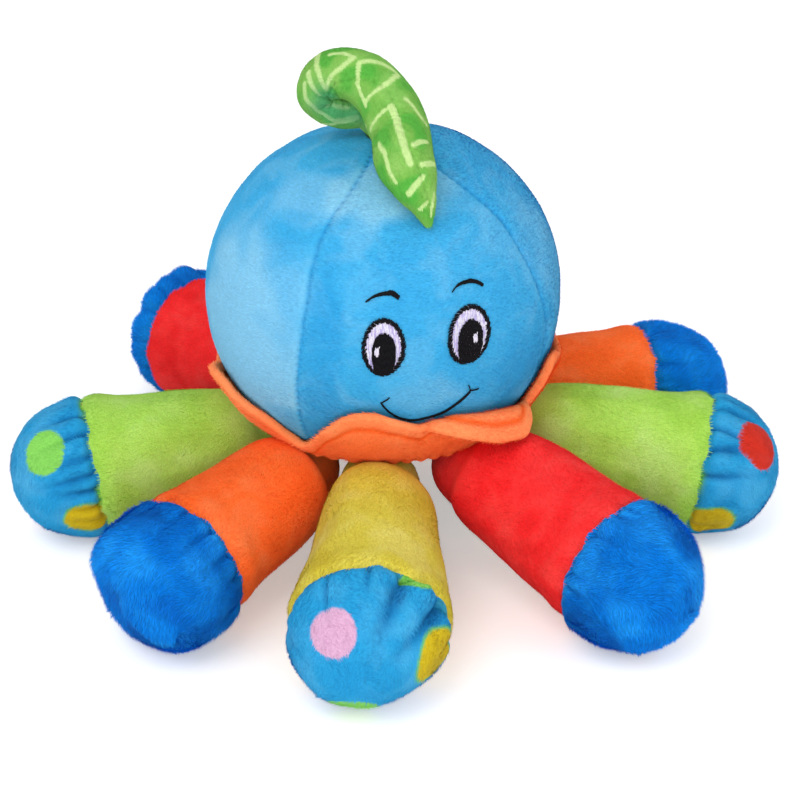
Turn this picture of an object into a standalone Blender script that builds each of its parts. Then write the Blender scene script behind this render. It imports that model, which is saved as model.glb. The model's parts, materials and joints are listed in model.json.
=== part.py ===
"""A stuffed octopus: a ball of a head, eight legs with padded feet sewn round its
underside, a scalloped collar, a curled stalk on the crown and an embroidered face.

Metres, +Z up. The origin is the middle of the ring of feet, on the surface that the toy
stands on, and the face looks along -Y. Angles round the toy are measured from -Y towards
+X, so a positive one is on the viewer's right.
"""

from math import acos, asin, atan2, cos, degrees, pi, radians, sin, sqrt

import bmesh
import bpy
from mathutils import Vector

# Cloth, thread and the play between sewn pieces
PLUSH_WALL = 0.002
COLLAR_WALL = 0.0026
THREAD_WALL = 0.0006
SEWN_GAP = 0.0003

# Head
HEAD_RADIUS = 0.075
HEAD_HEIGHT = 0.1098
HEAD_ACROSS = -0.0047
HEAD_BACK = 0.0012
NECK_LATITUDE = -36
HEAD_SEAM_DIP = 0.0012
HEAD_CROWN_DIP = 0.0045
HEAD_PANELS = ("head_panel_front", "head_panel_right", "head_panel_back", "head_panel_left")
PANEL_COLUMNS = 8
PANEL_ROWS = 9

NECK_SEAM = 0.0008
UNDERSIDE_TUCK = 0.005
UNDERSIDE_ROWS = 5

# Legs
LEG_COUNT = 8
FIRST_ROOT_AT = -16
ROOT_RADIUS = 0.0178
ROOT_SINK = 0.0079
ROOT_NECK = 0.007
FEET_RING_RADIUS = 0.1374
LEG_FULLNESS_SHARE = 0.62
FOOT_RADIUS = 0.0312
FOOT_OVERHANG = 0.0006
FOOT_FLAT_DEPTH = 0.0005
LEG_SIDES = 16
FILLING_SIDES = 10

# Collar
COLLAR_VALLEY_WIDTH = 0.0165
COLLAR_SEAM_VALLEY_WIDTH = 0.004
COLLAR_LOBE_WIDTH = 0.0285
COLLAR_STANDOFF = 0.0008
COLLAR_FLARE_ANGLE = 34
COLLAR_COLUMNS_PER_LOBE = 6
COLLAR_ROWS = 4

# Stalk
STALK_RADIUS = 0.012
STALK_SPAN = 0.075
STALK_WALL = 0.0016
STALK_ROOT_LIFT = 0.0045
STALK_TURN = -14.3
STALK_SIDES = 12
STALK_FILLING_SIDES = 8

# Face
EYE_HALF_WIDTH = 0.0088
EYE_HALF_HEIGHT = 0.0118
EYE_OUTLINE = 0.0019
EYE_LATITUDE = 8.3
EYE_AZIMUTH = 13.7
PUPIL_HALF_WIDTH = 0.0047
PUPIL_HALF_HEIGHT = 0.0085
PUPIL_DROP = 0.0030
GLINT_HALF_WIDTH = 0.0015
GLINT_HALF_HEIGHT = 0.0026
GLINT_OUT = 0.0022
GLINT_DROP = 0.0017
BROW_LATITUDE = 24.2
BROW_AZIMUTH = 14.4
BROW_HALF_LENGTH = 0.0068
BROW_RISE = 0.0026
BROW_STROKE = 0.0019
SMILE_LATITUDE = -19.3
SMILE_HALF_WIDTH = 0.0182
SMILE_DEPTH = 0.0112
SMILE_STROKE = 0.0019
SMILE_TICK_HALF_LENGTH = 0.0027

# Each leg: the latitude on the head's underside that its root is sewn at; where its foot
# lies on the ring of feet, in degrees, and at what share of the ring's radius; how far the
# foot's seam lies behind the middle of the foot, as a share of the foot's radius; its
# colours; and the share of the full height and of the full flare that the collar's
# scallop over it takes
LEGS = {
    "front": {
        "root_latitude": -53.0,
        "foot_at": -18.4,
        "reach_share": 1.0,
        "seam_share": 0.10,
        "cloth": "yellow",
        "foot": "dotted",
        "scallop_share": 1.0,
        "flare_share": 0.15,
    },
    "front_right": {
        "root_latitude": -50.0,
        "foot_at": 28.6,
        "reach_share": 1.0,
        "seam_share": 0.34,
        "cloth": "red",
        "foot": "royal",
        "scallop_share": 1.0,
        "flare_share": 0.45,
    },
    "right": {
        "root_latitude": -50.0,
        "foot_at": 70.4,
        "reach_share": 1.0,
        "seam_share": 0.15,
        "cloth": "lime",
        "foot": "dotted",
        "scallop_share": 0.8,
        "flare_share": 0.20,
    },
    "back_right": {
        "root_latitude": -52.5,
        "foot_at": 100.6,
        "reach_share": 0.985,
        "seam_share": 0.40,
        "cloth": "orange",
        "foot": "royal",
        "scallop_share": 0.8,
        "flare_share": 0.25,
    },
    "back": {
        "root_latitude": -54.0,
        "foot_at": 160.0,
        "reach_share": 1.0,
        "seam_share": 0.20,
        "cloth": "yellow",
        "foot": "dotted",
        "scallop_share": 0.8,
        "flare_share": 0.30,
    },
    "back_left": {
        "root_latitude": -54.7,
        "foot_at": -152.3,
        "reach_share": 1.02,
        "seam_share": 0.10,
        "cloth": "red",
        "foot": "royal",
        "scallop_share": 0.8,
        "flare_share": 0.30,
    },
    "left": {
        "root_latitude": -54.7,
        "foot_at": -97.9,
        "reach_share": 1.0,
        "seam_share": 0.20,
        "cloth": "lime",
        "foot": "dotted",
        "scallop_share": 0.64,
        "flare_share": 0.55,
    },
    "front_left": {
        "root_latitude": -54.7,
        "foot_at": -56.0,
        "reach_share": 0.985,
        "seam_share": 0.38,
        "cloth": "orange",
        "foot": "royal",
        "scallop_share": 0.9,
        "flare_share": 0.15,
    },
}

# The stalk's middle line as shares of its span, from the middle of its root, and
# its girth as shares of its own greatest radius
STALK_ROUTE_SHARES = (
    (0.000, 0.000, 0.000),
    (-0.095, -0.007, 0.090),
    (-0.225, -0.013, 0.096),
    (-0.335, -0.020, 0.158),
    (-0.315, -0.045, 0.263),
    (-0.190, -0.095, 0.323),
    (-0.022, -0.195, 0.262),
    (0.088, -0.360, 0.110),
    (0.112, -0.525, 0.018),
    (0.165, -0.622, -0.090),
    (0.214, -0.662, -0.192),
    (0.246, -0.690, -0.305),
)
STALK_GIRTH_SHARES = (0.66, 0.68, 0.72, 0.75, 0.80, 0.86, 0.94, 1.00, 0.99, 0.80, 0.47, 0.10)
STALK_RINGS = 17
STALK_FILLED_SHARE = 0.85

PLUSH_COLOURS = {
    "blue": (0.080, 0.400, 0.820),
    "yellow": (0.780, 0.640, 0.070),
    "red": (0.900, 0.030, 0.035),
    "lime": (0.420, 0.700, 0.110),
    "orange": (1.000, 0.170, 0.030),
    "royal": (0.006, 0.170, 0.640),
    "dotted": (0.060, 0.420, 0.800),
    "green": (0.150, 0.480, 0.070),
    "filling": (0.850, 0.850, 0.830),
}
THREAD_COLOURS = {
    "black_thread": (0.010, 0.010, 0.012),
    "white_thread": (0.900, 0.890, 0.920),
}


def clear_scene():
    """Empty the scene of whatever it opened with."""
    for obj in list(bpy.data.objects):
        bpy.data.objects.remove(obj, do_unlink=True)


def make_material(name, colour, roughness):
    """A Principled material of one colour."""
    material = bpy.data.materials.new(name)
    material.use_nodes = True
    shader = material.node_tree.nodes["Principled BSDF"]
    shader.inputs["Base Color"].default_value = (*colour, 1.0)
    shader.inputs["Roughness"].default_value = roughness
    shader.inputs["Metallic"].default_value = 0.0
    material.diffuse_color = (*colour, 1.0)
    return material


def make_object(name, mesh, material_name):
    """A smooth-shaded object in the scene, with a material of its own."""
    colours = {**PLUSH_COLOURS, **THREAD_COLOURS}
    roughness = 0.45 if material_name in THREAD_COLOURS else 0.85
    obj = bpy.data.objects.new(name, mesh)
    bpy.context.scene.collection.objects.link(obj)
    mesh.materials.append(make_material(name, colours[material_name], roughness))
    mesh.shade_smooth()
    return obj


def lofted_mesh(name, rows, closed_round=False, first_pole=None, last_pole=None):
    """Faces between rows of points. A pole closes the first or last row to one point."""
    form = bmesh.new()
    rings = [[form.verts.new(point) for point in row] for row in rows]
    count = len(rings[0])
    steps = range(count if closed_round else count - 1)
    for lower, upper in zip(rings, rings[1:]):
        for i in steps:
            j = (i + 1) % count
            form.faces.new((lower[i], lower[j], upper[j], upper[i]))
    if first_pole is not None:
        tip = form.verts.new(first_pole)
        for i in steps:
            form.faces.new((rings[0][(i + 1) % count], rings[0][i], tip))
    if last_pole is not None:
        tip = form.verts.new(last_pole)
        for i in steps:
            form.faces.new((rings[-1][i], rings[-1][(i + 1) % count], tip))
    mesh = bpy.data.meshes.new(name)
    form.to_mesh(mesh)
    form.free()
    return mesh


def revolved_mesh(name, profile, sides):
    """A profile of (radius, height) points, bottom to top, turned about Z."""
    turns = [2 * pi * i / sides for i in range(sides)]
    first_pole = (0, 0, profile[0][1]) if profile[0][0] == 0 else None
    last_pole = (0, 0, profile[-1][1]) if profile[-1][0] == 0 else None
    rows = [
        [(radius * cos(turn), radius * sin(turn), height) for turn in turns]
        for radius, height in profile
        if radius > 0
    ]
    return lofted_mesh(name, rows, True, first_pole, last_pole)


def thicken(obj, thickness, outwards=False):
    """Give a sheet its wall, inwards unless told otherwise."""
    wall = obj.modifiers.new("wall", "SOLIDIFY")
    wall.thickness = thickness
    wall.offset = 1 if outwards else -1
    wall.use_even_offset = True


def cut(obj, cutter):
    """Take the cutter's solid away from the object."""
    boolean = obj.modifiers.new("cut", "BOOLEAN")
    boolean.operation = "DIFFERENCE"
    boolean.solver = "EXACT"
    boolean.object = cutter


def make_cutter(name, mesh):
    """A helper that shapes other objects and isn't a piece itself."""
    cutter = bpy.data.objects.new(name, mesh)
    bpy.context.scene.collection.objects.link(cutter)
    cutter.hide_render = True
    cutter.display_type = "WIRE"
    return cutter


def facet_share(sides):
    """How far in the middle of a facet lies, as a share of the radius of its corners."""
    return cos(pi / sides)


def head_axis():
    """Where the head's upright axis meets the floor."""
    return Vector((HEAD_ACROSS, HEAD_BACK, 0))


def outwards_at(azimuth, latitude):
    """The unit direction at an azimuth and a latitude, both in degrees."""
    turn = radians(azimuth)
    rise = radians(latitude)
    return Vector((sin(turn) * cos(rise), -cos(turn) * cos(rise), sin(rise)))


def crown_dip(latitude):
    """How far the head lies inside a true ball, more and more towards its crown."""
    return HEAD_CROWN_DIP * max(sin(radians(latitude)), 0) ** 3


def head_point(azimuth, latitude, height=0, dips=True):
    """A point on the head, or a height above it. The cloth dips towards the four seams."""
    from_seam = ((azimuth + 45) % 90) / 90
    nearness = abs(2 * from_seam - 1) ** 6 if dips else 0
    radius = HEAD_RADIUS - crown_dip(latitude) - HEAD_SEAM_DIP * nearness + height
    return head_axis() + Vector((0, 0, HEAD_HEIGHT)) + outwards_at(azimuth, latitude) * radius


def stalk_root_radius():
    """The radius of the stalk's round root."""
    return STALK_RADIUS * STALK_GIRTH_SHARES[0]


def crown_latitude():
    """The latitude of the edge of the opening that the stalk comes out of."""
    opening = sqrt((stalk_root_radius() + SEWN_GAP) ** 2 - STALK_ROOT_LIFT**2) + SEWN_GAP
    return degrees(acos(opening / (HEAD_RADIUS - HEAD_CROWN_DIP)))


def make_head_panels():
    """Four curved panels, seamed from the crown to the neck."""
    half_gap = degrees(SEWN_GAP / 2 / HEAD_RADIUS)
    for number, name in enumerate(HEAD_PANELS):
        middle = 90 * number
        rows = []
        for row in range(PANEL_ROWS + 1):
            latitude = NECK_LATITUDE + (crown_latitude() - NECK_LATITUDE) * row / PANEL_ROWS
            edge = 45 - half_gap / cos(radians(latitude))
            azimuths = [middle + edge * (2 * i / PANEL_COLUMNS - 1) for i in range(PANEL_COLUMNS + 1)]
            rows.append([head_point(azimuth, latitude) for azimuth in azimuths])
        panel = make_object(name, lofted_mesh(name, rows), "blue")
        thicken(panel, PLUSH_WALL)


def root_places():
    """Where the middle of each leg's round root lies, sunk into the head's underside."""
    places = {}
    for number, name in enumerate(LEGS):
        azimuth = FIRST_ROOT_AT + number * 360 / LEG_COUNT
        latitude = LEGS[name]["root_latitude"]
        places[name] = head_point(azimuth, latitude, ROOT_RADIUS - ROOT_SINK, dips=False)
    return places


def foot_height():
    """The height of the middle of each foot, whose underside is cut flat."""
    return FOOT_RADIUS - FOOT_FLAT_DEPTH


def foot_place(name):
    """The middle of a leg's foot."""
    leg = LEGS[name]
    ground = outwards_at(leg["foot_at"], 0) * FEET_RING_RADIUS * leg["reach_share"]
    return ground + Vector((0, 0, foot_height()))


def make_root_cutter():
    """Eight balls, one round each leg's root, with the play that the root turns in."""
    radius = (ROOT_RADIUS + SEWN_GAP) / facet_share(LEG_SIDES) ** 2
    form = bmesh.new()
    sides = {"u_segments": LEG_SIDES, "v_segments": LEG_SIDES // 2}
    for place in root_places().values():
        ball = bmesh.ops.create_uvsphere(form, radius=radius, **sides)
        bmesh.ops.translate(form, verts=ball["verts"], vec=place)
    mesh = bpy.data.meshes.new("leg_root_space")
    form.to_mesh(mesh)
    form.free()
    return make_cutter("leg_root_space", mesh)


def stalk_root():
    """The middle of the stalk's round root, on the line that the stalk turns about."""
    crown = HEAD_HEIGHT + HEAD_RADIUS - HEAD_CROWN_DIP
    return head_axis() + Vector((0, 0, crown + STALK_ROOT_LIFT))


def make_crown_cutter():
    """A ball round the stalk's root, which leaves it a shallow seat in the filling."""
    radius = (stalk_root_radius() + SEWN_GAP) / facet_share(STALK_SIDES) ** 2
    form = bmesh.new()
    ball = bmesh.ops.create_uvsphere(form, u_segments=STALK_SIDES, v_segments=STALK_SIDES, radius=radius)
    bmesh.ops.translate(form, verts=ball["verts"], vec=stalk_root())
    mesh = bpy.data.meshes.new("stalk_root_space")
    form.to_mesh(mesh)
    form.free()
    return make_cutter("stalk_root_space", mesh)


def underside_profile(inset=0):
    """The bowl below the collar, from its lowest point out, tucked in under the legs' roots."""
    edge = NECK_LATITUDE - degrees(NECK_SEAM / HEAD_RADIUS)
    points = []
    for row in range(UNDERSIDE_ROWS + 1):
        share = row / UNDERSIDE_ROWS
        turn = radians(-90 + (edge + 90) * share)
        radius = HEAD_RADIUS - HEAD_SEAM_DIP - inset - UNDERSIDE_TUCK * sin(pi * share) ** 2
        points.append((radius * cos(turn), HEAD_HEIGHT + radius * sin(turn)))
    return [(0, points[0][1]), *points[1:]]


def make_underside(roots):
    """The cloth that closes the head below the collar, with an opening for each leg."""
    mesh = revolved_mesh("underside_panel", underside_profile(), 4 * PANEL_COLUMNS)
    cloth = make_object("underside_panel", mesh, "blue")
    cloth.location = head_axis()
    thicken(cloth, PLUSH_WALL)
    cut(cloth, roots)


def make_head_filling(roots):
    """The one mass of filling inside the head, pressed in by the legs and the stalk."""
    inset = PLUSH_WALL + SEWN_GAP + HEAD_RADIUS * (1 - facet_share(4 * PANEL_COLUMNS))
    step = radians(crown_latitude() - NECK_LATITUDE) / PANEL_ROWS
    dome = []
    for row in range(PANEL_ROWS + 1):
        turn = radians(NECK_LATITUDE) + step * row
        radius = (HEAD_RADIUS - HEAD_SEAM_DIP - crown_dip(degrees(turn)) - inset) * cos(step / 2)
        dome.append((radius * cos(turn), HEAD_HEIGHT + radius * sin(turn)))
    outline = [*underside_profile(inset)[:-1], *dome[:-1], (0, dome[-1][1])]
    mesh = revolved_mesh("head_filling", outline, 3 * PANEL_COLUMNS)
    filling = make_object("head_filling", mesh, "filling")
    filling.location = head_axis()
    cut(filling, roots)
    cut(filling, make_crown_cutter())


def limb_radius(swell_share, seam_back):
    """The leg's radius, from its short neck (share 0) to its end at the foot's seam (1)."""
    end = sqrt(FOOT_RADIUS**2 - seam_back**2) - FOOT_OVERHANG
    return ROOT_RADIUS + (end - ROOT_RADIUS) * swell_share**LEG_FULLNESS_SHARE


def leg_profile(length, seam_back, inset=0):
    """The leg's outline from its rounded root to the seam of the foot."""
    ball = ROOT_RADIUS - inset
    dome = [(ball * sin(turn), -ball * cos(turn)) for turn in (pi / 6, pi / 3, pi / 2)]
    swell = length - seam_back - ROOT_NECK
    stations = [
        (limb_radius(share, seam_back) - inset, ROOT_NECK + swell * share) for share in (0, 1 / 3, 2 / 3, 1)
    ]
    return [(0, -ball), *dome, *stations]


def foot_profile(length, seam_back, droop, inset=0):
    """The foot's outline from its seam round to its tip, with a row where it meets the floor."""
    ball = FOOT_RADIUS - inset
    start = asin((SEWN_GAP - seam_back) / FOOT_RADIUS)
    turns = [start, droop, radians(36), radians(64)]
    dome = [(ball * cos(turn), length + ball * sin(turn)) for turn in turns]
    return [*dome, (0, length + ball)]


def make_floor_cutter():
    """A block below the floor, which cuts the feet flat."""
    form = bmesh.new()
    bmesh.ops.create_cube(form, size=1)
    span = 2 * FEET_RING_RADIUS + 4 * FOOT_RADIUS
    bmesh.ops.scale(form, verts=form.verts, vec=(span, span, FOOT_RADIUS))
    bmesh.ops.translate(form, verts=form.verts, vec=(0, 0, -FOOT_RADIUS / 2))
    mesh = bpy.data.meshes.new("floor_space")
    form.to_mesh(mesh)
    form.free()
    return make_cutter("floor_space", mesh)


def make_legs():
    """Eight legs: cloth tube, foot cap and filling, each with its origin on the leg's hinge."""
    floor_cutter = make_floor_cutter()
    filling_inset = PLUSH_WALL + SEWN_GAP + FOOT_RADIUS * (1 - facet_share(LEG_SIDES))
    for name, root in root_places().items():
        leg = LEGS[name]
        reach = foot_place(name) - root
        length = reach.length
        droop = asin(-reach.z / length)
        seam_back = leg["seam_share"] * FOOT_RADIUS
        rotation = (pi / 2 + droop, 0, atan2(reach.x, -reach.y))

        cloth_name = f"{name}_leg_cover"
        cloth_mesh = revolved_mesh(cloth_name, leg_profile(length, seam_back), LEG_SIDES)
        cloth = make_object(cloth_name, cloth_mesh, leg["cloth"])
        thicken(cloth, PLUSH_WALL)

        foot_name = f"{name}_foot_cover"
        foot_mesh = revolved_mesh(foot_name, foot_profile(length, seam_back, droop), LEG_SIDES)
        foot = make_object(foot_name, foot_mesh, leg["foot"])
        thicken(foot, PLUSH_WALL)

        filling_name = f"{name}_leg_filling"
        outline = [
            *leg_profile(length, seam_back, filling_inset),
            *foot_profile(length, seam_back, droop, filling_inset)[1:],
        ]
        filling = make_object(filling_name, revolved_mesh(filling_name, outline, FILLING_SIDES), "filling")

        for piece in (cloth, foot, filling):
            piece.location = root
            piece.rotation_euler = rotation
        cut(foot, floor_cutter)


def collar_point(azimuth, share):
    """A point of the collar's inner face, from its sewn edge (share 0) to its free edge (1).

    The scallops meet in valleys, which are deeper over the head's four seams.
    """
    place = azimuth * LEG_COUNT / 360 + 1
    number = int(place) % LEG_COUNT
    lobe = sin(pi * (place - int(place))) ** 0.8
    leg = list(LEGS.values())[number]
    valley = COLLAR_SEAM_VALLEY_WIDTH if round(place) % 2 == 0 else COLLAR_VALLEY_WIDTH
    top = max(COLLAR_LOBE_WIDTH * leg["scallop_share"], valley)
    width = (valley + (top - valley) * lobe) * share
    lean = radians(COLLAR_FLARE_ANGLE) * leg["flare_share"] * (0.35 + 0.65 * lobe) * share
    start = NECK_LATITUDE + degrees(SEWN_GAP / HEAD_RADIUS)
    latitude = start + degrees(width * cos(lean) / HEAD_RADIUS)
    return head_point(azimuth, latitude, COLLAR_STANDOFF + width * sin(lean))


def make_collar():
    """A scalloped collar, one scallop over each leg, sewn at the neck and rising up the head."""
    columns = LEG_COUNT * COLLAR_COLUMNS_PER_LOBE
    rows = [
        [collar_point(360 * column / columns, row / COLLAR_ROWS) for column in range(columns)]
        for row in range(COLLAR_ROWS + 1)
    ]
    collar = make_object("collar", lofted_mesh("collar", rows, closed_round=True), "orange")
    thicken(collar, COLLAR_WALL, outwards=True)


def smooth_value(values, share):
    """A value read from a smooth curve through evenly spaced ones, at a share of its length."""
    last = len(values) - 1
    place = min(share * last, last - 1e-9)
    i = int(place)
    t = place - i
    a = values[max(i - 1, 0)]
    b = values[i]
    c = values[i + 1]
    d = values[min(i + 2, last)]
    return 0.5 * (2 * b + (c - a) * t + (2 * a - 5 * b + 4 * c - d) * t**2 + (3 * b - a - 3 * c + d) * t**3)


def stalk_rings(inset, sides):
    """Rings of points along the stalk's curl, with the points that end its root and its tip."""
    route = [Vector(shares) * STALK_SPAN for shares in STALK_ROUTE_SHARES]
    girth = [share * STALK_RADIUS for share in STALK_GIRTH_SHARES]
    middles = [smooth_value(route, i / STALK_RINGS) for i in range(STALK_RINGS + 1)]
    radii = [max(smooth_value(girth, i / STALK_RINGS) - inset, SEWN_GAP) for i in range(STALK_RINGS + 1)]
    ways = [
        (middles[min(i + 1, STALK_RINGS)] - middles[max(i - 1, 0)]).normalized()
        for i in range(STALK_RINGS + 1)
    ]
    side = ways[0].cross(Vector((0, 1, 0))).normalized()
    frames = []
    for way in ways:
        side = (side - way * side.dot(way)).normalized()
        frames.append((side, way.cross(side)))
    turns = [2 * pi * i / sides for i in range(sides)]

    def ring(middle, frame, radius):
        return [middle + frame[0] * (radius * cos(turn)) + frame[1] * (radius * sin(turn)) for turn in turns]

    root = [
        ring(middles[0] - ways[0] * (radii[0] * cos(turn)), frames[0], radii[0] * sin(turn))
        for turn in (pi / 6, pi / 3)
    ]
    along = [ring(*values) for values in zip(middles, frames, radii)]
    root_end = middles[0] - ways[0] * radii[0]
    tip_end = middles[-1] + ways[-1] * radii[-1]
    return [*root, *along], root_end, tip_end


def make_stalk():
    """The curled stalk: a tapering cloth tube, open at its root, and its filling."""
    rings, _, tip = stalk_rings(0, STALK_SIDES)
    cloth = make_object("stalk_cover", lofted_mesh("stalk_cover", rings, True, None, tip), "green")
    thicken(cloth, STALK_WALL)

    inset = STALK_WALL + SEWN_GAP + STALK_RADIUS * (1 - facet_share(STALK_SIDES))
    rings, root_end, _ = stalk_rings(inset, STALK_FILLING_SIDES)
    filled = round(len(rings) * STALK_FILLED_SHARE)
    tip = sum(rings[filled], Vector()) / STALK_FILLING_SIDES
    mesh = lofted_mesh("stalk_filling", rings[:filled], True, root_end, tip)
    filling = make_object("stalk_filling", mesh, "filling")
    for piece in (cloth, filling):
        piece.location = stalk_root()
        piece.rotation_euler = (0, 0, radians(STALK_TURN))


def face_point(azimuth, latitude, across, up, height):
    """A point of the face, measured along the cloth from a place on it."""
    turn = azimuth + degrees(across / (HEAD_RADIUS * cos(radians(latitude))))
    return head_point(turn, latitude + degrees(up / HEAD_RADIUS), height)


def oval_row(azimuth, latitude, half_width, half_height, height, points, pinch=0):
    """Points round an oval on the face. A pinch narrows it towards its top."""
    row = []
    for i in range(points):
        turn = 2 * pi * i / points
        narrow = 1 - pinch * sin(turn)
        row.append(
            face_point(azimuth, latitude, half_width * cos(turn) * narrow, half_height * sin(turn), height)
        )
    return row


def make_oval(name, azimuth, latitude, half_width, half_height, height, points, material, pinch=0):
    """A thin embroidered oval, curved to the head."""
    rows = [
        oval_row(azimuth, latitude, half_width * share, half_height * share, height, points, pinch)
        for share in (1, 0.55)
    ]
    middle = face_point(azimuth, latitude, 0, 0, height)
    obj = make_object(name, lofted_mesh(name, rows, True, None, middle), material)
    thicken(obj, THREAD_WALL, outwards=True)


def make_eye(side_name, side):
    """One eye in four layers of stitches: outline, white, pupil and glint."""
    azimuth = side * EYE_AZIMUTH
    ground = SEWN_GAP
    rows = [
        oval_row(azimuth, EYE_LATITUDE, EYE_HALF_WIDTH, EYE_HALF_HEIGHT, ground, 20),
        oval_row(
            azimuth, EYE_LATITUDE, EYE_HALF_WIDTH - EYE_OUTLINE, EYE_HALF_HEIGHT - EYE_OUTLINE, ground, 20
        ),
    ]
    name = f"{side_name}_eye_outline"
    outline = make_object(name, lofted_mesh(name, rows, closed_round=True), "black_thread")
    thicken(outline, THREAD_WALL, outwards=True)

    inner_width = EYE_HALF_WIDTH - EYE_OUTLINE - SEWN_GAP
    inner_height = EYE_HALF_HEIGHT - EYE_OUTLINE - SEWN_GAP
    white = f"{side_name}_eye_white"
    make_oval(white, azimuth, EYE_LATITUDE, inner_width, inner_height, ground, 20, "white_thread")

    layer = THREAD_WALL + SEWN_GAP
    pupil_latitude = EYE_LATITUDE - degrees(PUPIL_DROP / HEAD_RADIUS)
    pupil_size = (PUPIL_HALF_WIDTH, PUPIL_HALF_HEIGHT)
    pupil = f"{side_name}_pupil"
    make_oval(pupil, azimuth, pupil_latitude, *pupil_size, ground + layer, 14, "black_thread", 0.18)

    glint_latitude = EYE_LATITUDE - degrees(GLINT_DROP / HEAD_RADIUS)
    glint_azimuth = azimuth + side * degrees(GLINT_OUT / HEAD_RADIUS)
    glint_size = (GLINT_HALF_WIDTH, GLINT_HALF_HEIGHT)
    glint = f"{side_name}_glint"
    make_oval(glint, glint_azimuth, glint_latitude, *glint_size, ground + 2 * layer, 8, "white_thread")


def stroke_mesh(name, azimuth, latitude, middle_line, stroke):
    """A stitched stroke along (across, up) points, narrowing to its ends."""
    last = len(middle_line) - 1
    under = []
    over = []
    for i, (across, up) in enumerate(middle_line):
        before = Vector(middle_line[max(i - 1, 0)])
        after = Vector(middle_line[min(i + 1, last)])
        way = (after - before).normalized()
        half = stroke / 2 * (0.35 + 0.65 * sin(pi * i / last) ** 0.5)
        under.append(face_point(azimuth, latitude, across + way.y * half, up - way.x * half, SEWN_GAP))
        over.append(face_point(azimuth, latitude, across - way.y * half, up + way.x * half, SEWN_GAP))
    return lofted_mesh(name, [under, over])


def make_brow(side_name, side):
    """A short arched brow."""
    line = [
        (BROW_HALF_LENGTH * share, BROW_RISE * (1 - share * share) - BROW_RISE / 2)
        for share in (-1, -0.6, -0.2, 0.2, 0.6, 1)
    ]
    name = f"{side_name}_brow"
    mesh = stroke_mesh(name, side * BROW_AZIMUTH, BROW_LATITUDE, line, BROW_STROKE)
    brow = make_object(name, mesh, "black_thread")
    thicken(brow, THREAD_WALL, outwards=True)


def make_smile():
    """The smile, with a short tick across each of its ends."""
    shares = [i / 6 - 1 for i in range(13)]
    line = [(SMILE_HALF_WIDTH * share, SMILE_DEPTH * abs(share) ** 2.2) for share in shares]
    smile = make_object("smile", stroke_mesh("smile", 0, SMILE_LATITUDE, line, SMILE_STROKE), "black_thread")
    thicken(smile, THREAD_WALL, outwards=True)
    for side in (-1, 1):
        reach = SMILE_TICK_HALF_LENGTH
        start = (side * (SMILE_HALF_WIDTH - reach), SMILE_DEPTH + reach / 2)
        end = (side * (SMILE_HALF_WIDTH + reach), SMILE_DEPTH - reach / 2)
        first, last = (start, end) if side > 0 else (end, start)
        middle = ((first[0] + last[0]) / 2, (first[1] + last[1]) / 2)
        tick_mesh = stroke_mesh("smile_tick", 0, SMILE_LATITUDE, [first, middle, last], SMILE_STROKE)
        tick = make_cutter(f"smile_tick_{side}", tick_mesh)
        thicken(tick, THREAD_WALL, outwards=True)
        join = smile.modifiers.new("tick", "BOOLEAN")
        join.operation = "UNION"
        join.solver = "EXACT"
        join.object = tick


def main():
    clear_scene()
    roots = make_root_cutter()
    make_head_panels()
    make_underside(roots)
    make_head_filling(roots)
    make_legs()
    make_collar()
    make_stalk()
    for side_name, side in (("left", -1), ("right", 1)):
        make_eye(side_name, side)
        make_brow(side_name, side)
    make_smile()


main()
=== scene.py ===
"""A stuffed octopus dressed in its cloth, pile and stitches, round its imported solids.

Everything is in metres in the frame of the solids: +Z up, the face looks along -Y, and the
toy stands on Z = 0. Angles round the toy are measured from -Y towards +X.
"""

import json
import logging
import math
from collections.abc import Callable
from dataclasses import dataclass, field
from enum import Enum

import bpy
import numpy as np
from mathutils import Matrix, Vector, noise


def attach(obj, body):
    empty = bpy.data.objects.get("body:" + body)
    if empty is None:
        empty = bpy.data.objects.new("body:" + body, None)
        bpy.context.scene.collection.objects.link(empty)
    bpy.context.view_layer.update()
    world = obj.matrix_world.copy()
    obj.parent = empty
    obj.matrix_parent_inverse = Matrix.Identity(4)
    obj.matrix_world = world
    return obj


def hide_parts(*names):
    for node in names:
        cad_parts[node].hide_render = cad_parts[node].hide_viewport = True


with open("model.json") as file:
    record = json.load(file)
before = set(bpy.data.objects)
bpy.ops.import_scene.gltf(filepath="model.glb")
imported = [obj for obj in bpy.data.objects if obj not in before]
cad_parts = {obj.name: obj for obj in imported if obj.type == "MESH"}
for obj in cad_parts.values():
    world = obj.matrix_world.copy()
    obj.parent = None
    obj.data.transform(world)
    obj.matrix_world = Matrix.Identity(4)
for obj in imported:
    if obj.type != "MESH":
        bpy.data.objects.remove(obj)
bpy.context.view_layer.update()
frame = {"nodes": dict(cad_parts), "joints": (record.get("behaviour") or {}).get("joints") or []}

logging.basicConfig(level=logging.INFO, format="%(message)s")
log = logging.getLogger("octopus")


def linear(hex_colour: str) -> tuple[float, float, float]:
    """Turn an sRGB hex colour into linear values.

    Args:
        hex_colour: Six hex digits, such as "4FAEE8".

    Returns:
        Red, green and blue from 0 to 1, linear.
    """
    values = [int(hex_colour[i : i + 2], 16) / 255 for i in (0, 2, 4)]
    return tuple(v / 12.92 if v <= 0.04045 else ((v + 0.055) / 1.055) ** 2.4 for v in values)


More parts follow.
